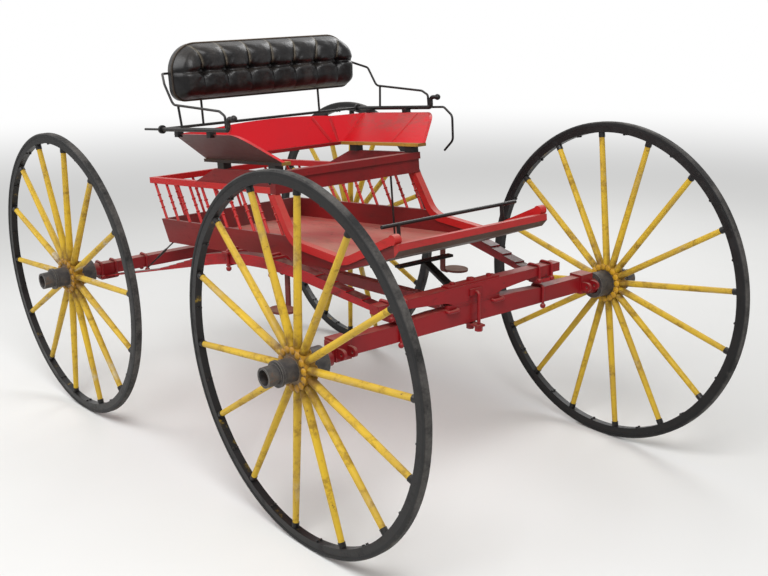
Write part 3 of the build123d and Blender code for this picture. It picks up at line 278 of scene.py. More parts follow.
def make_world():
    """White for the camera and the gloss, and a soft light for everything else."""
    world = bpy.data.worlds.new("studio")
    bpy.context.scene.world = world
    world.use_nodes = True
    tree = world.node_tree
    tree.nodes.clear()
    path = tree.nodes.new("ShaderNodeLightPath")
    seen = tree.nodes.new("ShaderNodeMath")
    seen.operation = "MAXIMUM"
    tree.links.new(path.outputs["Is Camera Ray"], seen.inputs[0])
    tree.links.new(path.outputs["Is Glossy Ray"], seen.inputs[1])
    white = tree.nodes.new("ShaderNodeBackground")
    white.inputs["Color"].default_value = (1, 1, 1, 1)
    white.inputs["Strength"].default_value = 1.0
    soft = tree.nodes.new("ShaderNodeBackground")
    soft.inputs["Strength"].default_value = ROOM_LIGHT
    choice = tree.nodes.new("ShaderNodeMixShader")
    tree.links.new(seen.outputs[0], choice.inputs[0])
    tree.links.new(soft.outputs[0], choice.inputs[1])
    tree.links.new(white.outputs[0], choice.inputs[2])
    end = tree.nodes.new("ShaderNodeOutputWorld")
    tree.links.new(choice.outputs[0], end.inputs["Surface"])


make_world()
print("world: room light", ROOM_LIGHT)

# %% Lamps
LAMP_AIM = Vector((0, 0, 0.6))
# Lamp: place, size across, power in watts
LAMPS = {
    "key": ((2.6, -2.2, 4.2), 2.4, 170),
    "side": ((-2.4, -3.4, 3.4), 2.6, 90),
    "back": ((-1.5, 3.6, 3.8), 2.6, 90),
}


def make_lamps():
    for name, (place, size, power) in LAMPS.items():
        data = bpy.data.lights.new(name, "AREA")
        data.size = size
        data.energy = power
        lamp = bpy.data.objects.new(name, data)
        lamp.location = place
        lamp.rotation_euler = (LAMP_AIM - Vector(place)).to_track_quat("-Z", "Y").to_euler()
        bpy.context.scene.collection.objects.link(lamp)


make_lamps()
print("lamps:", ", ".join(LAMPS))

# %% [markdown]
# ## The frames that the pieces lie in
# A pattern has to follow its piece: rings round a hub, grain along a board. So there are three
# kinds of frame. Each wheel has one at its hub, which its joint gives, so it stays right when the
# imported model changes. Each side spring has one at the middle of its span. The body has one that is
# pitched nose-up, as it hangs on the springs.

# %% Wheel frames
WHEELS = ["front_right", "front_left", "rear_right", "rear_left"]


def wheel_matrix(name):
    """Local z points out of the hub, local x forwards. The wheel's joint gives its place and axis."""
    joint = joints[name + "_spin"]
    outward = Vector(joint["axis"]).normalized()
    if name.endswith("right"):
        outward = -outward
    forwards = Vector((1, 0, 0))
    return Matrix.Translation(joint["pos_m"]) @ Matrix(
        (forwards, outward.cross(forwards), outward)
    ).transposed().to_4x4()


wheel_frames = {name: wheel_matrix(name) for name in WHEELS}
wheel_radius = {}
for name in WHEELS:
    tyre_low, tyre_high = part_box("tyre_" + name)
    wheel_radius[name] = (tyre_high.x - tyre_low.x) / 2
    centre = [round(v, 3) for v in wheel_frames[name].translation]
    print("wheel", name, centre, "radius", round(wheel_radius[name], 3))

# %% Body frame
BODY_PITCH = math.radians(5.0)
BODY_SILL_HEIGHT = 0.733
body_matrix = Matrix.Translation((0, 0, BODY_SILL_HEIGHT)) @ Matrix.Rotation(-BODY_PITCH, 4, "Y")
ON_BODY = {"origin": (0, 0, BODY_SILL_HEIGHT), "turn": tuple(body_matrix.to_euler())}
print("body frame turned", [round(math.degrees(v), 1) for v in ON_BODY["turn"]])

# %% [markdown]
# ## Finishes
# The buggy was painted more than once and has stood in barns: red paint that is chipped and dusty,
# yellow spokes stained brown near the hub, black rims, and dark iron. Each piece could have a
# material of its own, but a worn paint is the same idea each time, so one recipe serves: a coat
# whose tint drifts, stains that lie in patches, chips on the edges that show what is under the
# coat, and dust on whatever looks up.

# %% Worn paint
# How fine the patterns are: the higher, the smaller the spots
BROAD_SPOTS, PATCH_SPOTS, FLAKE_SPOTS, FINE_SPOTS = 2.2, 9.0, 26.0, 60.0
EDGE_WEAR, COAT_DEPTH, GRAIN_DEPTH = 0.004, 0.0006, 0.0009
GRAIN_STRETCH = (1.2, 40, 40)
SEAT_CORNER = 0.36


def worn_paint(name, coat, faded, stain, under, origin=(0, 0, 0), turn=(0, 0, 0), stretch=(1, 1, 1),
               stained=0.5, chipped=0.5, dusty=0.25, rough=0.42, grain=0.0,
               outside=None, below=Finish.facing_down, scuffed=None):
    """Paint on wood or iron. stretch squeezes the patterns, so that they run along the piece.
    outside is a dark tone of painted shade, for the faces that look downwards, or for where below says.
    scuffed is the paler tone of the seat's wings, where arms and coats have rubbed."""
    paint = Finish(name)
    place = paint.where(origin, turn, stretch)
    broad = paint.noise(place, BROAD_SPOTS, 5, 0.6, 0.4)
    patchy = paint.noise(place, PATCH_SPOTS, 6, 0.65)
    fine = paint.noise(place, FINE_SPOTS, 5, 0.6)
    tint = paint.mix(paint.step(broad, 0.35, 0.68), coat, faded)
    # Painted shade: the faces that below picks get the dark outside tone
    if outside is not None:
        tint = paint.mix(below(paint), tint, outside)
    stains = paint.step(patchy + (fine - 0.5) * 0.5, 0.62 - 0.14 * stained, 0.80) * stained
    tint = paint.mix(stains, tint, stain)
    worn = paint.edges(EDGE_WEAR) * paint.step(patchy + fine * 0.4, 0.55, 0.85)
    flaky = paint.noise(place, FLAKE_SPOTS, 6, 0.7)
    flakes = paint.step(flaky, 0.69 - 0.05 * chipped, 0.72 - 0.05 * chipped)
    bare = paint.maths("MAXIMUM", worn, flakes, clamp=True) * chipped
    tint = paint.mix(bare, tint, under)
    if scuffed is not None:
        side_place = paint.maths("ABSOLUTE", paint.parts(paint.where())[1])
        on_wing = paint.step(side_place, SEAT_CORNER - 0.03, SEAT_CORNER + 0.05)
        inside = on_wing * (1 - paint.facing_down())
        rubbed = inside * paint.step(patchy + (fine - 0.5) * 0.8, 0.40, 0.72)
        tint = paint.mix(rubbed * 0.75, tint, scuffed)
    dust = paint.facing_up() * paint.step(broad + fine * 0.5, 0.45, 1.0) * dusty
    tint = paint.mix(dust, tint, DUST)
    roughness = rough + 0.22 * stains + 0.25 * bare + 0.4 * dust + 0.12 * (fine - 0.5)
    normal = paint.bump(fine * 0.5 + patchy * 0.5 - bare * 0.8, COAT_DEPTH, 0.5)
    if grain:
        streaks = paint.noise(paint.where(origin, turn, GRAIN_STRETCH), 4.0, 4, 0.6)
        normal = paint.bump(streaks, GRAIN_DEPTH, grain, normal)
    return paint.surface(tint, roughness, normal)


DARK_WOOD, DARK_IRON = colour(66, 44, 36), colour(44, 36, 34)
print("worn paint: chips show dark wood or dark iron")

# %% [markdown]
# ## Reds
# No two reds on the buggy are the same. The seat is the brightest, the side panels and the running gear are
# dark, and the floor is trodden pale. The riser is darker still, and that is painted shade, as it sits in
# the seat's shade. A single red would flatten the whole, so each group of pieces gets its own coat from the
# one recipe.

# %% Red paint on the boards and the gear
RED, RED_FADED, RED_STAIN = colour(190, 24, 28), colour(172, 34, 32), colour(96, 26, 22)
red_board = worn_paint("red_board_paint", RED, RED_FADED, RED_STAIN, DARK_WOOD,
                       **ON_BODY, stretch=(0.45, 1.5, 1.5),
                       stained=0.45, chipped=0.45, dusty=0.3, grain=0.35)
red_panel = worn_paint("side_panel_paint", colour(124, 22, 24), colour(102, 28, 28), colour(62, 24, 22),
                       DARK_WOOD, **ON_BODY, stretch=(0.5, 1.5, 1.8),
                       stained=0.7, chipped=0.5, dusty=0.2, grain=0.35)
red_gear = worn_paint("running_gear_paint", colour(140, 20, 26), colour(116, 24, 28), colour(64, 20, 20),
                      DARK_IRON, stretch=(1, 0.5, 1), stained=0.6, chipped=0.6, dusty=0.4, rough=0.38)
floor_paint = worn_paint("floor_paint", colour(172, 44, 42), colour(186, 92, 84), colour(96, 46, 40),
                         DARK_WOOD, **ON_BODY, stretch=(0.4, 1.5, 1.5),
                         stained=0.7, chipped=0.8, dusty=0.5, rough=0.55, grain=0.5)
# The seat walls' outer faces look a little downwards, and colour(66, 38, 36) paints them in shade
seat_red = worn_paint("seat_wall_paint", colour(208, 14, 30), colour(202, 16, 32), colour(150, 24, 28),
                      DARK_WOOD, **ON_BODY, stretch=(0.6, 1.2, 1.2),
                      stained=0.25, chipped=0.45, dusty=0.1, rough=0.36, grain=0.2,
                      outside=colour(66, 38, 36), scuffed=colour(164, 62, 60))
# The riser, the seat beam and the seat's rear strip get a darker red, which is painted shade: they lie in
# the seat's shade
riser_shaded_red = worn_paint("riser_shaded_paint", colour(126, 20, 24), colour(104, 24, 26), colour(64, 22, 20),
                       DARK_WOOD, **ON_BODY, stretch=(0.5, 1.5, 1.5),
                       stained=0.6, chipped=0.5, dusty=0.25, grain=0.3)
for red in (red_board, red_panel, red_gear, floor_paint, seat_red, riser_shaded_red):
    print("red paint:", red.name)

# %% [markdown]
# ## Boards with painted shade
# The toe board and its lip are red above, and their faces that look well downwards get a grey-brown painted
# shade.
# The strips under the seat are yellow, and their outer and lower faces get an almost black painted shade,
# under the wings. Two materials on one board would need its faces sorted, so a mask reads which way each
# face looks and mixes the coat with its painted shade.

# %% Toe board, lip and seat strips
def shade_under_toe_board(paint):
    """1 on the faces that look well downwards, which get painted shade."""
    return paint.facing_down(-0.3, -0.45)


def shaded_outer_face(paint):
    """1 on the faces that look away from the buggy's middle, on either side, and on those below. These are
    painted in shade.
    """
    _, side_place, _ = paint.parts(paint.where())
    _, side_look, up_look = paint.parts(paint.normal())
    return paint.step(side_look * paint.maths("SIGN", side_place) - up_look, -0.3, 0.1)


# Grey-brown painted shade for the faces of the toe board and its lip that look well downwards
UNDERSIDE_SHADE_BROWN = colour(74, 56, 46)
# The strips' outer and lower faces get colour(38, 26, 24), an almost black painted shade under the wings
strip_yellow = worn_paint("strip_paint", colour(178, 136, 48), colour(150, 112, 46), colour(92, 62, 36),
                          DARK_WOOD, stained=0.7, chipped=0.8, dusty=0.4, rough=0.55, grain=0.5,
                          outside=colour(38, 26, 24), below=shaded_outer_face)
lip_red = worn_paint("front_lip_paint", colour(172, 36, 38), colour(160, 46, 44), RED_STAIN, DARK_WOOD,
                     **ON_BODY, stretch=(1.5, 0.6, 1.5),
                     stained=0.6, chipped=0.7, dusty=0.3, grain=0.4,
                     outside=UNDERSIDE_SHADE_BROWN, below=shade_under_toe_board)
toe_paint = worn_paint("toe_board_paint", colour(184, 36, 38), colour(176, 60, 54), colour(104, 50, 42),
                       DARK_WOOD, **ON_BODY, stretch=(0.4, 1.5, 1.5),
                       stained=0.6, chipped=0.7, dusty=0.4, rough=0.5, grain=0.5,
                       outside=UNDERSIDE_SHADE_BROWN, below=shade_under_toe_board)
# These three paints carry painted shade on the faces that their masks pick
for shade_below_paint in (strip_yellow, lip_red, toe_paint):
    print("painted-shade paint:", shade_below_paint.name)

# %% [markdown]
# ## Side springs
# A side spring is a pack of thin leaves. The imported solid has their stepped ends. The seams between
# the leaves could be cut into a mesh, but they are hair-thin, so they are drawn here: the height
# over the pack's lower edge, in steps of one leaf, is a row of thin grooves. That edge is straight
# on both limbs and round at the bend, and the right spring reads the left one's pattern mirrored.

# %% Spring leaves
LEAF_THICKNESS = 0.005
SPRING_REAR = Vector((-0.8025, 0.560, 0.543190))
SPRING_FRONT = Vector((0.7775, 0.340, 0.680474))
SPRING_CREST = (0.165, 0.142)
SPRING_BEND = 1.35
LIMB_RED, LIMB_DARK = colour(172, 22, 30), colour(120, 24, 28)
SEAM_BLACK, SPRING_RUST = colour(36, 12, 14), colour(62, 34, 28)


def spring_paint(name):
    """Paint with a dark groove between each two leaves."""
    rear, front = SPRING_REAR, SPRING_FRONT
    along = (front - rear).normalized()
    across = Vector((0, 0, 1)).cross(along).normalized()
    upward = along.cross(across)
    turn = tuple(Matrix((along, across, upward)).transposed().to_euler())
    half = (front - rear).length / 2
    crest_x, crest_z = SPRING_CREST
    rear_slope = math.atan2(crest_z, half + crest_x)
    front_slope = math.atan2(crest_z, half - crest_x)
    tilt = (front_slope - rear_slope) / 2
    reach = SPRING_BEND / math.cos((rear_slope + front_slope) / 2)
    centre_x, centre_z = crest_x - reach * math.sin(tilt), crest_z - reach * math.cos(tilt)

    paint = Finish(name)
    x, _, z = paint.parts(paint.where(tuple((rear + front) / 2), turn, place=paint.mirrored()))
    from_centre = (x - centre_x) * (x - centre_x) + (z - centre_z) * (z - centre_z)
    over_bend = paint.maths("SQRT", from_centre) - SPRING_BEND
    over_rear = (z - crest_z) * math.cos(rear_slope) - (x - crest_x) * math.sin(rear_slope)
    over_front = (z - crest_z) * math.cos(front_slope) + (x - crest_x) * math.sin(front_slope)
    on_rear = paint.maths("LESS_THAN", x, centre_x - SPRING_BEND * math.sin(rear_slope))
    on_front = paint.maths("GREATER_THAN", x, centre_x + SPRING_BEND * math.sin(front_slope))
    over = over_rear * on_rear + over_front * on_front + over_bend * (1 - on_rear - on_front)
    seam = paint.step(paint.maths("PINGPONG", over / LEAF_THICKNESS + 0.5, 0.5), 0.34, 0.47)
    place = paint.where((0, 0, 0), turn, (0.5, 1, 1))
    patchy = paint.noise(place, 11.0, 6, 0.65)
    fine = paint.noise(place, 70.0, 5, 0.6)
    tint = paint.mix(paint.step(patchy, 0.4, 0.7), LIMB_RED, LIMB_DARK)
    tint = paint.mix(seam * 0.85, tint, SEAM_BLACK)
    rust = paint.step(patchy + fine * 0.5, 0.86, 1.0)
    tint = paint.mix(rust, tint, SPRING_RUST)
    dust = paint.facing_up() * paint.step(fine + patchy, 0.8, 1.4) * 0.35
    tint = paint.mix(dust, tint, DUST)
    normal = paint.bump(fine * 0.3 - seam, 0.0012, 0.8)
    return paint.surface(tint, 0.40 + 0.3 * rust + 0.3 * dust, normal)


spring_red = spring_paint("spring_leaf_paint")
print("springs: one leaf is", LEAF_THICKNESS * 1000, "mm thick")

# %% [markdown]
# ## Wheels
# A wheel's colours follow its radius: yellow spokes, brown with old grease at the hub, with a dark
# ferrule at the tip, and then a black rim. The material measures the distance from its own hub, so
# each wheel gets a copy of the recipe with its own centre. Some spokes carry pale dust, the most on
# the right rear wheel, so a noise that is drawn by angle chooses whole spokes.

# %% Spokes and felloe
SPOKE_ROOT, GREASE_REACH, FELLOE_DEPTH, TYRE_DEPTH = 0.066, 0.12, 0.024, 0.015
PALE_DUST = {"front_right": 0.3, "front_left": 0.4, "rear_right": 0.95, "rear_left": 0.6}
YELLOW, YELLOW_DULL, GREASE = colour(204, 168, 44), colour(184, 150, 52), colour(104, 72, 30)
BONE_DUST, SPOKE_STAIN, SPOKE_BARE = colour(196, 184, 154), colour(116, 84, 34), colour(70, 52, 36)


def on_wheel(paint, name):
    """Object coordinates, as seen from the wheel's own frame."""
    local = wheel_frames[name]
    return paint.where(tuple(local.translation), tuple(local.to_euler()))


def wheel_paint(name):
    """Yellow spokes that go over into a black felloe."""
    rim = wheel_radius[name] - TYRE_DEPTH - FELLOE_DEPTH
    paint = Finish("spoke_paint_" + name)
    place = on_wheel(paint, name)
    radius = paint.vector_maths("LENGTH", place)
    across, up, _ = paint.parts(place)
    turn = paint.maths("ARCTAN2", up, across)
    spoke_wise = paint.node("ShaderNodeCombineXYZ", {}, {0: turn * 3.0, 1: radius * 2.2, 2: 0.3})
    broad = paint.noise(spoke_wise, 2.6, 3, 0.5)
    patchy = paint.noise(place, 16.0, 6, 0.65)
    fine = paint.noise(place, 90.0, 5, 0.6)
    tint = paint.mix(paint.step(broad, 0.35, 0.66), YELLOW, YELLOW_DULL)
    pale = paint.step(broad + (patchy - 0.5) * 0.5, 0.60, 0.74)
    tint = paint.mix(pale * PALE_DUST[name], tint, BONE_DUST)
    stains = paint.step(patchy + (fine - 0.5) * 0.4, 0.49, 0.70)
    tint = paint.mix(stains * 0.65, tint, SPOKE_STAIN)
    rootward = 1 - paint.step(radius, SPOKE_ROOT, SPOKE_ROOT + GREASE_REACH)
    tint = paint.mix(rootward * paint.step(patchy, 0.35, 0.62) * 0.85, tint, GREASE)
    chips = paint.step(paint.noise(place, 44.0, 6, 0.7), 0.66, 0.69)
    tint = paint.mix(chips, tint, SPOKE_BARE)
    blackened = paint.step(radius + (patchy - 0.5) * 0.012, rim - 0.004, rim - 0.001)
    black = paint.mix(patchy, colour(12, 12, 13), colour(30, 28, 28))
    tint = paint.mix(blackened, tint, black)
    normal = paint.bump(fine * 0.4 + patchy * 0.6 - chips, 0.0007, 0.6)
    rough = 0.48 + 0.2 * stains - 0.1 * blackened + 0.1 * (fine - 0.5)
    return paint.surface(tint, rough, normal)


for name in WHEELS:
    nodes["wheel_" + name].data.materials[0] = wheel_paint(name)
    print("spokes painted:", name, "pale dust", PALE_DUST[name])

# %% Tyre
TREAD_START, TREAD_END = 0.006, 0.0005
TREAD_DUST, SCUFF = colour(104, 100, 96), colour(84, 80, 76)


def rubber_tread(name):
    """Black rubber, grey with dust where it rolls."""
    paint = Finish("tyre_rubber_" + name)
    place = on_wheel(paint, name)
    radius = paint.vector_maths("LENGTH", place)
    patchy = paint.noise(place, 7.0, 6, 0.65)
    fine = paint.noise(place, 120.0, 4, 0.6)
    tread = paint.step(radius, wheel_radius[name] - TREAD_START, wheel_radius[name] - TREAD_END)
    tint = paint.mix(paint.step(patchy, 0.35, 0.75), colour(13, 13, 14), colour(27, 27, 28))
    tint = paint.mix(tread * paint.step(patchy + fine * 0.3, 0.45, 0.85) * 0.6, tint, TREAD_DUST)
    scuffs = paint.step(paint.noise(place, 30.0, 6, 0.7), 0.60, 0.72)
    tint = paint.mix(scuffs * 0.35, tint, SCUFF)
    normal = paint.bump(fine * 0.5 + patchy, 0.0008, 0.5)
    return paint.surface(tint, 0.52 + 0.22 * tread + 0.14 * scuffs, normal)


for name in WHEELS:
    nodes["tyre_" + name].data.materials[0] = rubber_tread(name)
print("tyres blackened:", len(WHEELS))

# %% Hub
SHELF_HALF, SHELF_FADE = 0.0185, 0.0225
HUB_RUST, HUB_EDGE = colour(98, 66, 44), colour(150, 146, 140)


def hub_iron(name):
    """Grey iron with worn edges, and old yellow between the flanges, where the spokes stand."""
    paint = Finish("hub_paint_" + name)
    place = on_wheel(paint, name)
    _, _, out = paint.parts(place)
    patchy = paint.noise(place, 22.0, 6, 0.65)
    fine = paint.noise(place, 130.0, 5, 0.6)
    tint = paint.mix(paint.step(patchy, 0.35, 0.7), colour(50, 48, 49), colour(84, 80, 76))
    rust = paint.step(patchy + fine * 0.5, 0.80, 0.98)
    tint = paint.mix(rust * 0.8, tint, HUB_RUST)
    shelf = 1 - paint.step(paint.maths("ABSOLUTE", out), SHELF_HALF, SHELF_FADE)
    yellow = paint.mix(patchy, colour(196, 148, 36), colour(120, 84, 32))
    tint = paint.mix(shelf, tint, yellow)
    tint = paint.mix(paint.edges(0.003) * 0.5, tint, HUB_EDGE)
    normal = paint.bump(fine * 0.5 + patchy, 0.0008, 0.6)
    return paint.surface(tint, 0.45 + 0.25 * rust, normal)


for name in WHEELS:
    nodes["hub_" + name].data.materials[0] = hub_iron(name)
print("hubs painted:", len(WHEELS))

# %% [markdown]
# ## Iron
# The seat irons and the stays are black iron: an almost smooth dark coat with brown rust where
# hands and rain have been. A bare metal would look too bright, because the iron is painted. So the
# finish is a plain dark paint, and the rust takes its gloss away in patches.

# %% Black iron
IRON_DARK, IRON_GREY, IRON_RUST = colour(14, 14, 15), colour(34, 32, 32), colour(86, 56, 40)
IRON_DUST = colour(140, 128, 116)


def black_iron(name, rusty):
    """Black iron. rusty is how much of the coat is gone."""
    paint = Finish(name)
    place = paint.where()
    patchy = paint.noise(place, 20.0, 6, 0.65)
    fine = paint.noise(place, 140.0, 5, 0.6)
    tint = paint.mix(patchy, IRON_DARK, IRON_GREY)
    rust = paint.step(patchy + (fine - 0.5) * 0.6, 0.66 - 0.2 * rusty, 0.84)
    tint = paint.mix(rust * rusty * 1.4, tint, IRON_RUST)
    dust = paint.facing_up() * paint.step(fine, 0.4, 0.8) * 0.25
    tint = paint.mix(dust, tint, IRON_DUST)
    normal = paint.bump(fine * 0.6 + patchy, 0.0006, 0.5)
    return paint.surface(tint, 0.38 + 0.3 * rust + 0.2 * dust, normal)


seat_iron = black_iron("seat_iron", 0.3)
rusty_iron = black_iron("rusty_iron", 0.6)
step_iron = worn_paint("step_paint", colour(120, 38, 34), colour(98, 52, 44), colour(66, 48, 42), DARK_IRON,
                       stained=0.8, chipped=0.8, dusty=0.5, rough=0.55)
print("irons:", seat_iron.name, rusty_iron.name, step_iron.name)

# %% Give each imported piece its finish
# A finish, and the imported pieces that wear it
FINISHES = (
    (red_gear, "rear_axle front_axle bolster reach spring_saddles hanger_bars shaft_couplings "
               "lower_fifth_plate upper_fifth_plate kingbolt kingbolt_yoke bolster_top_plate "
               "front_axle_clips end_clips spring_clips axle_guides"),
    (spring_red, "side_springs"),
    (seat_iron, "body_stop seat_irons back_posts arm_rails hook_rod foot_rail seat_feet backrest_board"),
    (rusty_iron, "tail_stays prop_rod"),
    (step_iron, "steps"),
    (red_panel, "side_panels tail_panel"),
    (red_board, "side_mouldings top_rail spindles"),
    (riser_shaded_red, "seat_rear_strip seat_riser seat_beam"),
    (strip_yellow, "seat_side_strips"),
    (floor_paint, "floor"),
    (toe_paint, "toe_board"),
    (lip_red, "front_lip"),
    (seat_red, "seat_walls"),
)
for finish, names in FINISHES:
    for name in names.split():
        nodes[name].data.materials[0] = finish
    print(finish.name, "on", names)

# %% [markdown]
# ## Small things that repeat
# Nuts, ferrules and buttons are many copies of one small shape. A node tree stands that shape on
# every point of a carrier mesh, along a direction that the point itself holds, so a whole ring of
# nuts is a short list of places. The result is turned into a plain mesh, one for each body.

# %% A tree that stands a shape on points
def fitting_tree(name, shape):
    """shape is a cone, which is also a nut or a collar, or a dome."""
    tree = bpy.data.node_groups.new(name, "GeometryNodeTree")
    sizes = (("Radius", "Float"), ("Tip radius", "Float"), ("Height", "Float"), ("Sides", "Int"))
    tree.interface.new_socket("Points", in_out="INPUT", socket_type="NodeSocketGeometry")
    for label, kind in sizes:
        tree.interface.new_socket(label, in_out="INPUT", socket_type="NodeSocket" + kind)
    tree.interface.new_socket("Material", in_out="INPUT", socket_type="NodeSocketMaterial")
    tree.interface.new_socket("Fittings", in_out="OUTPUT", socket_type="NodeSocketGeometry")
    add, link = tree.nodes.new, tree.links.new
    given, result = add("NodeGroupInput"), add("NodeGroupOutput")
    if shape == "cone":
        model = add("GeometryNodeMeshCone")
        link(given.outputs["Sides"], model.inputs["Vertices"])
        link(given.outputs["Radius"], model.inputs["Radius Bottom"])
        link(given.outputs["Tip radius"], model.inputs["Radius Top"])
        link(given.outputs["Height"], model.inputs["Depth"])
        formed = model.outputs["Mesh"]
    else:
        model = add("GeometryNodeMeshUVSphere")
        link(given.outputs["Sides"], model.inputs["Segments"])
        link(given.outputs["Radius"], model.inputs["Radius"])
        ratio = add("ShaderNodeMath")
        ratio.operation = "DIVIDE"
        link(given.outputs["Height"], ratio.inputs[0])
        link(given.outputs["Radius"], ratio.inputs[1])
        size = add("ShaderNodeCombineXYZ")
        size.inputs[0].default_value = size.inputs[1].default_value = 1
        link(ratio.outputs[0], size.inputs[2])
        flatten = add("GeometryNodeTransform")
        link(model.outputs["Mesh"], flatten.inputs["Geometry"])
        link(size.outputs[0], flatten.inputs["Scale"])
        smooth = add("GeometryNodeSetShadeSmooth")
        link(flatten.outputs[0], smooth.inputs[0])
        formed = smooth.outputs[0]
    direction = add("GeometryNodeInputNamedAttribute")
    direction.data_type = "FLOAT_VECTOR"
    direction.inputs["Name"].default_value = "direction"
    turned = add("FunctionNodeAlignRotationToVector")
    turned.axis = "Z"
    link(direction.outputs["Attribute"], turned.inputs["Vector"])
    stand = add("GeometryNodeInstanceOnPoints")
    link(given.outputs["Points"], stand.inputs["Points"])
    link(formed, stand.inputs["Instance"])
    link(turned.outputs[0], stand.inputs["Rotation"])
    real = add("GeometryNodeRealizeInstances")
    link(stand.outputs[0], real.inputs[0])
    painted = add("GeometryNodeSetMaterial")
    link(real.outputs[0], painted.inputs["Geometry"])
    link(given.outputs["Material"], painted.inputs["Material"])
    link(painted.outputs[0], result.inputs[0])
    return tree


cone_tree, dome_tree = fitting_tree("cones on points", "cone"), fitting_tree("domes on points", "dome")
print("fitting trees:", len(cone_tree.nodes), "and", len(dome_tree.nodes), "nodes")


# %% A plain mesh from the tree
def fittings(name, spots, tree, material, body, slot, radius, height, tip=0.0, sides=12):
    """spots holds (place, direction). The plain mesh that comes out rides on the body."""
    mesh = bpy.data.meshes.new(name + "_spots")
    mesh.from_pydata([tuple(place) for place, _ in spots], [], [])
    held = mesh.attributes.new("direction", "FLOAT_VECTOR", "POINT")
    held.data.foreach_set("vector", [number for _, direction in spots for number in direction])
    carrier = bpy.data.objects.new(name + "_spots", mesh)
    bpy.context.scene.collection.objects.link(carrier)
    modifier = carrier.modifiers.new("fittings", "NODES")
    modifier.node_group = tree
    values = {"Radius": radius, "Tip radius": tip, "Height": height, "Sides": sides, "Material": material}
    for socket in tree.interface.items_tree:
        if socket.in_out == "INPUT" and socket.name in values:
            modifier[socket.identifier] = values[socket.name]
    bpy.context.view_layer.update()
    result = carrier.evaluated_get(bpy.context.evaluated_depsgraph_get())
    piece = bpy.data.objects.new(name, bpy.data.meshes.new_from_object(result))
    bpy.context.scene.collection.objects.link(piece)
    bpy.data.objects.remove(carrier)
    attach(piece, body)
    print(name, len(spots), "fittings,", len(piece.data.polygons), "faces")


# %% [markdown]
# ## Fittings of the wheels
# On each wheel a dark ferrule closes the tip of every spoke, a nut sits inside the rim between two
# spokes, and at the hub the spoke roots stand in a ring of small yellow scallops.

# %% Ferrules, rim nuts and root scallops
SPOKE_COUNT = {"right": 14, "left": 16}
# How far each wheel is turned, in degrees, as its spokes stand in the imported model
FIRST_SPOKE = {"front_right": 6.3, "front_left": 7.8, "rear_right": 3.5, "rear_left": 0.0}
WHEEL_DISH, FLANGE_HALF, SCALLOP_RING = 0.006, 0.021, 0.060
FERRULE_INSET, NUT_SHIFT, NUT_SINK = 0.018, 0.007, 0.002
FERRULE = {"radius": 0.0122, "height": 0.020, "tip": 0.0118, "sides": 12}
RIM_NUT = {"radius": 0.0052, "height": 0.007, "tip": 0.0046, "sides": 6}
SCALLOP = {"radius": 0.0125, "height": 0.006}
ferrule_iron = black_iron("ferrule_iron", 0.35)
root_yellow = worn_paint("root_paint", colour(196, 148, 36), colour(150, 108, 34), colour(84, 60, 30),
                         DARK_IRON, stained=0.8, chipped=0.8, dusty=0.2)

for name in WHEELS:
    side = name.split("_")[1]
    sign = -1 if side == "right" else 1
    count = SPOKE_COUNT[side]
    hub, turned = wheel_frames[name].translation, wheel_frames[name].to_3x3()
    out = turned @ Vector((0, 0, 1))
    rim = wheel_radius[name] - TYRE_DEPTH - FELLOE_DEPTH
    ferrules, nuts, scallops = [], [], []
    for spoke in range(count):
        turn = math.radians(360 * spoke / count - sign * FIRST_SPOKE[name])
        between = turn + math.pi / count
        radial = turned @ Vector((math.cos(turn), math.sin(turn), 0))
        middle = turned @ Vector((math.cos(between), math.sin(between), 0))
        ferrules.append((hub + radial * (rim - FERRULE_INSET) + out * WHEEL_DISH, radial))
        for shift in (-NUT_SHIFT, NUT_SHIFT):
            nuts.append((hub + middle * (rim + NUT_SINK) + out * (WHEEL_DISH + shift), -middle))
        for face in (-1, 1):
            scallops.append((hub + radial * SCALLOP_RING + out * face * FLANGE_HALF, out * face))
    body = "wheel_" + name + "_body"
    fittings("ferrules_" + name, ferrules, cone_tree, ferrule_iron, body, "hub_iron", **FERRULE)
    fittings("rim_nuts_" + name, nuts, cone_tree, ferrule_iron, body, "hub_iron", **RIM_NUT)
    fittings("root_scallops_" + name, scallops, dome_tree, root_yellow, body, "yellow_wood", **SCALLOP)

# %% [markdown]
# ## The back cushion
# The back is a long leather cushion over a board, stuffed with horsehair. Seven buttons pull the
# leather in along one line. Above the line the stuffing stands in full puffs between curved
# pleats, and below it the pleats are faint. The form follows a rule, so it is worked out on a
# grid: a rounded outline, a full edge, a puff between each two pleats and a dip at each button. The
# grid also keeps how full each point is and how near to a seam, which the leather reads later.

# %% Form of the cushion
CUSHION_HALF, CUSHION_LOW, CUSHION_HIGH, CUSHION_REAR = 0.420, 0.576, 0.790, -0.378
TOP_CORNER, BOTTOM_CORNER = 0.110, 0.048
CUSHION_BODY, CUSHION_EDGE, EDGE_POWER = 0.084, 0.060, 2.3
BUTTON_LINE, BUTTON_PITCH, BUTTON_COUNT = 0.684, 0.105, 7
BUTTON_PLACES = [(button - (BUTTON_COUNT - 1) / 2) * BUTTON_PITCH for button in range(BUTTON_COUNT)]
# How full a puff is at the button line, and how much less at the top or the bottom
FULL_ABOVE, LESS_ABOVE, FULL_BELOW, LESS_BELOW = 0.026, 0.008, 0.024, 0.014
PUFF_REACH, PUFF_POWER, FAN_SPREAD, FAINT_PLEATS = 0.1, 0.55, 0.10, 0.75
LINE_DIP, LINE_WIDTH, BUTTON_DIP, DIP_WIDTH = 0.013, 0.009, 0.016, 0.015
CREASE_DEPTH, CREASE_REACH, CREASE_COUNT = 0.0016, 0.03, 9
SEAM_WIDTH = 0.035
COLUMNS, ROWS = 421, 97


def corner_drop(radius, from_end):
    """How far a rounded corner falls away from the straight edge."""
    inside = np.clip(radius - from_end, 0, radius)
    return radius - np.sqrt(radius**2 - inside**2)


def towards_ends(steps, share):
    """Numbers from 0 to 1 that lie closer together at both ends."""
    return (1 - share) * steps + share * (1 - np.cos(np.pi * steps)) / 2


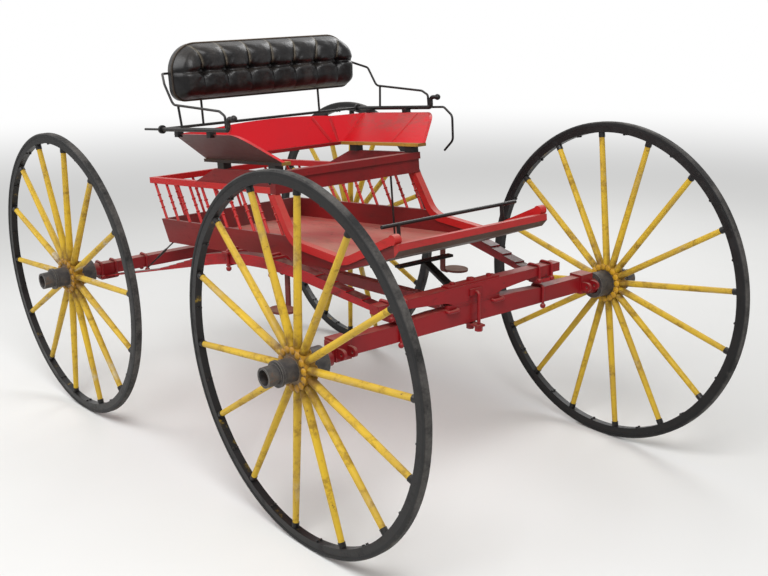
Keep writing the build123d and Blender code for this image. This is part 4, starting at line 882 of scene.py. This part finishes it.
def cushion_form():
    """Sideways place, height and depth of each point of the front, how full it is, and its seams."""
    across = (2 * towards_ends(np.linspace(0, 1, COLUMNS), 0.5) - 1) * CUSHION_HALF
    rows = towards_ends(np.linspace(0, 1, ROWS), 0.6)
    from_end = CUSHION_HALF - np.abs(across)
    low = CUSHION_LOW + corner_drop(BOTTOM_CORNER, from_end)
    high = CUSHION_HIGH - corner_drop(TOP_CORNER, from_end)
    side = np.repeat(across[:, None], ROWS, 1)
    height = low[:, None] + (high - low)[:, None] * rows[None, :]

    middle, half_height = (CUSHION_LOW + CUSHION_HIGH) / 2, (CUSHION_HIGH - CUSHION_LOW) / 2
    corner = np.where(height > middle, TOP_CORNER, BOTTOM_CORNER)
    over_end = np.abs(side) - CUSHION_HALF + corner
    over_top = np.abs(height - middle) - half_height + corner
    outside = np.hypot(np.maximum(over_end, 0), np.maximum(over_top, 0))
    inward = np.clip(corner - outside - np.minimum(np.maximum(over_end, over_top), 0), 0, None)
    share = np.clip(inward / CUSHION_EDGE, 0, 1)
    edge = (1 - (1 - share) ** EDGE_POWER) ** (1 / EDGE_POWER)

    rise = (height - BUTTON_LINE) / PUFF_REACH
    fan = 1 + FAN_SPREAD * np.clip(rise, 0, None) ** 2
    phase = side / fan / BUTTON_PITCH
    from_pleat = np.abs(phase - np.round(phase))
    puff = np.sin(np.pi * from_pleat) ** PUFF_POWER
    above, below = np.clip(rise, 0, 1), np.clip(-rise, 0, 1)
    full = np.where(rise > 0, FULL_ABOVE - LESS_ABOVE * above, FULL_BELOW - LESS_BELOW * below)
    pleat_depth = np.where(rise > 0, 1.0, 1.0 - FAINT_PLEATS * below)
    swell = full * (1 - pleat_depth * (1 - puff))
    depth = edge * (CUSHION_BODY + swell * np.clip(inward / 0.02, 0, 1))
    depth -= edge * LINE_DIP * np.exp(-((height - BUTTON_LINE) / LINE_WIDTH) ** 2)
    for button, place in enumerate(BUTTON_PLACES):
        distance = np.hypot(side - place, height - BUTTON_LINE)
        depth -= BUTTON_DIP * np.exp(-((distance / DIP_WIDTH) ** 2))
        turn = np.arctan2(height - BUTTON_LINE, side - place)
        creases = 1 + np.cos(CREASE_COUNT * turn + button)
        depth -= CREASE_DEPTH * np.exp(-distance / CREASE_REACH) * creases * edge
    seam = np.exp(-((from_pleat / SEAM_WIDTH) ** 2)) * np.clip(rise / 0.3, 0, 1)
    return side, height, depth, puff * edge, seam


side, height, depth, fullness, seams = cushion_form()
print("cushion front:", COLUMNS, "by", ROWS, "points, thickest", round(float(depth.max()) * 1000), "mm")

# %% [markdown]
# ## Skin and leather
# The front could be thickened by Solidify, but the back of a cushion is flat, so a second grid is laid on
# the board and the two are joined at their rims. Both carry the two numbers of the form: full puffs are
# rubbed pale, and that pale is also a painted highlight, and old stitching shows in the pleats above the
# buttons.

# %% Skin of the cushion
# Wrinkle: how fine it is, how deep it is
WRINKLES = ((42, 0.0014), (110, 0.0005))
JOIN_WITHIN = 0.00005


def grid_faces(first, flip):
    """The faces of one grid of points. The back's faces are turned over."""
    faces = []
    for column in range(COLUMNS - 1):
        for row in range(ROWS - 1):
            a = first + column * ROWS + row
            face = (a, a + ROWS, a + ROWS + 1, a + 1)
            faces.append(face[::-1] if flip else face)
    return faces


def cushion_points():
    """The points of the front and then of the back, in the buggy's frame."""
    front, back = [], []
    for column in range(COLUMNS):
        for row in range(ROWS):
            across, up = float(side[column, row]), float(height[column, row])
            place = Vector((across, up, 0))
            wrinkle = sum(noise.noise(place * fineness) * size for fineness, size in WRINKLES)
            raised = max(float(depth[column, row]) + wrinkle * float(fullness[column, row]), 0)
            front.append(body_matrix @ Vector((CUSHION_REAR + raised, place.x, place.y)))
            back.append(body_matrix @ Vector((CUSHION_REAR, across, up)))
    return front + back


def joined(mesh):
    """Joins doubled points, turns the faces outwards and shades them smooth."""
    skin = bmesh.new()
    skin.from_mesh(mesh)
    bmesh.ops.remove_doubles(skin, verts=skin.verts, dist=JOIN_WITHIN)
    bmesh.ops.recalc_face_normals(skin, faces=skin.faces)
    for face in skin.faces:
        face.smooth = True
    skin.to_mesh(mesh)
    skin.free()


def make_cushion(material):
    """The closed skin, with its two numbers on every point."""
    mesh = bpy.data.meshes.new("back_cushion")
    front_count = COLUMNS * ROWS
    mesh.from_pydata(cushion_points(), [], grid_faces(0, False) + grid_faces(front_count, True))
    for name, numbers in (("fullness", fullness), ("seam", seams)):
        held = mesh.attributes.new(name, "FLOAT", "POINT")
        held.data.foreach_set("value", numbers.ravel().tolist() + [0.0] * front_count)
    joined(mesh)
    mesh.materials.append(material)
    piece = bpy.data.objects.new("back_cushion", mesh)
    bpy.context.scene.collection.objects.link(piece)
    return piece


# %% Leather, and the cushion itself
def leather(name):
    """Black leather with a fine grain, rubbed pale on its puffs, where the pale is also a painted
    highlight, and stitched in its pleats.
    """
    paint = Finish(name)
    place = paint.where()
    full = paint.node("ShaderNodeAttribute", {"attribute_name": "fullness"}, {}, "Fac")
    seam = paint.node("ShaderNodeAttribute", {"attribute_name": "seam"}, {}, "Fac")
    broad = paint.noise(place, 5.0, 4, 0.6)
    fine = paint.noise(place, 160.0, 5, 0.6)
    cells = paint.node("ShaderNodeTexVoronoi", {"feature": "DISTANCE_TO_EDGE"}, {
        "Vector": place, "Scale": 420.0,
    })
    tint = paint.mix(broad, colour(7, 6, 7), colour(16, 14, 15))
    # Pale grey on the fullest puffs: partly rubbed wear, partly a painted highlight where the puffs catch
    # the light
    rubbed = paint.step(full, 0.80, 1.0) * paint.step(broad + fine * 0.4, 0.60, 0.95)
    tint = paint.mix(rubbed * 0.5, tint, colour(66, 62, 60))
    stitches = seam * (0.35 + 0.4 * paint.step(fine, 0.4, 0.6))
    tint = paint.mix(stitches, tint, colour(128, 120, 104))
    dust = paint.facing_up() * paint.step(broad + fine * 0.5, 0.6, 1.0) * 0.2
    tint = paint.mix(dust, tint, colour(120, 110, 100))
    normal = paint.bump(paint.step(cells, 0.0, 0.3) * 0.4 + fine * 0.6, 0.0005, 0.5)
    rough = 0.36 + 0.2 * rubbed + 0.25 * dust - 0.06 * broad
    return paint.surface(tint, rough, normal, coat=0.1, coat_rough=0.25)


cushion_leather = leather("cushion_leather")
cushion = make_cushion(cushion_leather)
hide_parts("backrest")
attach(cushion, "carriage")
print("cushion:", len(cushion.data.polygons), "faces")

# %% [markdown]
# ## Buttons and welt
# Seven leather buttons sit in the dips. A worn cord, the welt, is sewn all round the front edge. A
# curve with a bevel would make such a cord too. Here its rings are laid one by one, each turned as
# the one before it, so that the cord doesn't twist where it closes on itself.

# %% Buttons
BUTTON_SINK = 0.020
BUTTON = {"radius": 0.011, "height": 0.007, "sides": 20}
forward = (body_matrix.to_3x3() @ Vector((1, 0, 0))).normalized()
button_face = CUSHION_REAR + CUSHION_BODY - BUTTON_SINK
buttons = [(body_matrix @ Vector((button_face, place, BUTTON_LINE)), forward) for place in BUTTON_PLACES]
fittings("cushion_buttons", buttons, dome_tree, cushion_leather, "carriage", "backrest_leather", **BUTTON)

# %% Welt
WELT_INSET, WELT_FORWARD, WELT_RADIUS, WELT_SIDES, WELT_STEPS = 0.0015, 0.028, 0.004, 10, 24


def cord_ring(name, points, material):
    """A closed cord through the points."""
    rings, faces = [], []
    reference = Vector((0.31, 0.87, 0.38))
    for index, point in enumerate(points):
        ahead = (points[(index + 1) % len(points)] - points[index - 1]).normalized()
        first = ahead.cross(reference).normalized()
        second = ahead.cross(first)
        for step in range(WELT_SIDES):
            turn = 2 * math.pi * step / WELT_SIDES
            rings.append(point + (first * math.cos(turn) + second * math.sin(turn)) * WELT_RADIUS)
        reference = first.cross(ahead)
    for index in range(len(points)):
        a, b = index * WELT_SIDES, ((index + 1) % len(points)) * WELT_SIDES
        for step in range(WELT_SIDES):
            after = (step + 1) % WELT_SIDES
            faces.append((a + step, a + after, b + after, b + step))
    mesh = bpy.data.meshes.new(name)
    mesh.from_pydata(rings, [], faces)
    joined(mesh)
    mesh.materials.append(material)
    piece = bpy.data.objects.new(name, mesh)
    bpy.context.scene.collection.objects.link(piece)
    return piece


# Corner of the welt: side, height of its centre, radius, angle at which it starts
top, bottom = CUSHION_HIGH - TOP_CORNER, CUSHION_LOW + BOTTOM_CORNER
welt_points = []
for end, centre_height, corner, start in (
    (1, top, TOP_CORNER, 0), (-1, top, TOP_CORNER, 90),
    (-1, bottom, BOTTOM_CORNER, 180), (1, bottom, BOTTOM_CORNER, 270),
):
    reach = corner - WELT_INSET
    for step in range(WELT_STEPS + 1):
        turn = math.radians(start + 90 * step / WELT_STEPS)
        welt_points.append(body_matrix @ Vector((
            CUSHION_REAR + WELT_FORWARD,
            end * (CUSHION_HALF - corner) + reach * math.cos(turn),
            centre_height + reach * math.sin(turn),
        )))
welt_leather = worn_paint("welt_leather", colour(22, 19, 18), colour(56, 46, 36), colour(14, 13, 13),
                          colour(120, 100, 76), stained=0.6, chipped=0.7, dusty=0.4, rough=0.6)
welt = cord_ring("cushion_welt", welt_points, welt_leather)
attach(welt, "carriage")
welt_length = sum((point - welt_points[index - 1]).length for index, point in enumerate(welt_points))
print("welt:", len(welt_points), "points,", round(welt_length, 3), "m round")

# %% [markdown]
# ## Straps on the seat walls
# Flat irons, painted over with the seat, hold its thin boards together: two on each half of the
# back and one on each wing. Each is a bar with bevelled edges, laid on the slope of its wall. The
# walls spread by a fixed share with height, so one function gives any place on them.

# %% Seat straps
WALL_BASE, WALL_RISE = 0.354, 0.106
BACK_LOW, BACK_LEAN, WING_LOW, WING_SPREAD = 0.302, 0.030, 0.318, 0.128
STRAP_WIDTH, STRAP_THICKNESS, STRAP_SINK = 0.013, 0.0028, 0.0006
# Outline of a strap's section: share of its half width, share of its thickness
STRAP_SECTION = ((-1, 0), (-1, 0.5), (-0.6, 1), (0.6, 1), (1, 0.5), (1, 0))
STRAP_FOOT = 0.04
# Strap: place of its foot, place of its head, share of the wall's height that the head reaches
BACK_STRAPS = ((0.262, 0.196, 1.0), (0.300, 0.286, 0.92))
WING_STRAP = (0.020, 0.044, 0.97)


def on_back(side_place, share):
    """A place on the back wall, at a share of its height."""
    return Vector((-BACK_LOW - BACK_LEAN * share, side_place, WALL_BASE + WALL_RISE * share))


def on_wing(sign, forward_place, share):
    """A place on a side wall, at a share of its height."""
    spread = sign * (WING_LOW + WING_SPREAD * share)
    return Vector((forward_place, spread, WALL_BASE + WALL_RISE * share))


def strap(mesh, low_end, high_end, inward):
    """Adds a flat bar from one end to the other. Its back lies on the wall, which faces inward."""
    along = (high_end - low_end).normalized()
    across = along.cross(inward).normalized()
    rings = []
    for end in (low_end, high_end):
        ring = []
        for side_share, lift in STRAP_SECTION:
            over_wall = lift * STRAP_THICKNESS - STRAP_SINK
            place = end + across * side_share * STRAP_WIDTH / 2 + inward * over_wall
            ring.append(mesh.verts.new(body_matrix @ place))
        rings.append(ring)
    for index in range(len(STRAP_SECTION)):
        after = (index + 1) % len(STRAP_SECTION)
        mesh.faces.new((rings[0][index], rings[0][after], rings[1][after], rings[1][index]))
    mesh.faces.new(rings[0])
    mesh.faces.new(rings[1])


straps = bmesh.new()
back_inward = Vector((WALL_RISE, 0, BACK_LEAN)).normalized()
for sign in (-1, 1):
    wing_inward = Vector((0, -sign * WALL_RISE, WING_SPREAD)).normalized()
    for foot, head, share in BACK_STRAPS:
        strap(straps, on_back(sign * foot, STRAP_FOOT), on_back(sign * head, share), back_inward)
    foot, head, share = WING_STRAP
    strap(straps, on_wing(sign, foot, STRAP_FOOT), on_wing(sign, head, share), wing_inward)
bmesh.ops.recalc_face_normals(straps, faces=straps.faces)
strap_mesh = bpy.data.meshes.new("seat_straps")
straps.to_mesh(strap_mesh)
straps.free()
strap_mesh.materials.append(worn_paint(
    "strap_paint", colour(196, 22, 32), colour(176, 30, 36), colour(110, 26, 26), DARK_IRON,
    stained=0.5, chipped=0.7, dusty=0.2, rough=0.36,
))
seat_straps = bpy.data.objects.new("seat_straps", strap_mesh)
bpy.context.scene.collection.objects.link(seat_straps)
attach(seat_straps, "carriage")
print("straps:", len(strap_mesh.polygons), "faces")
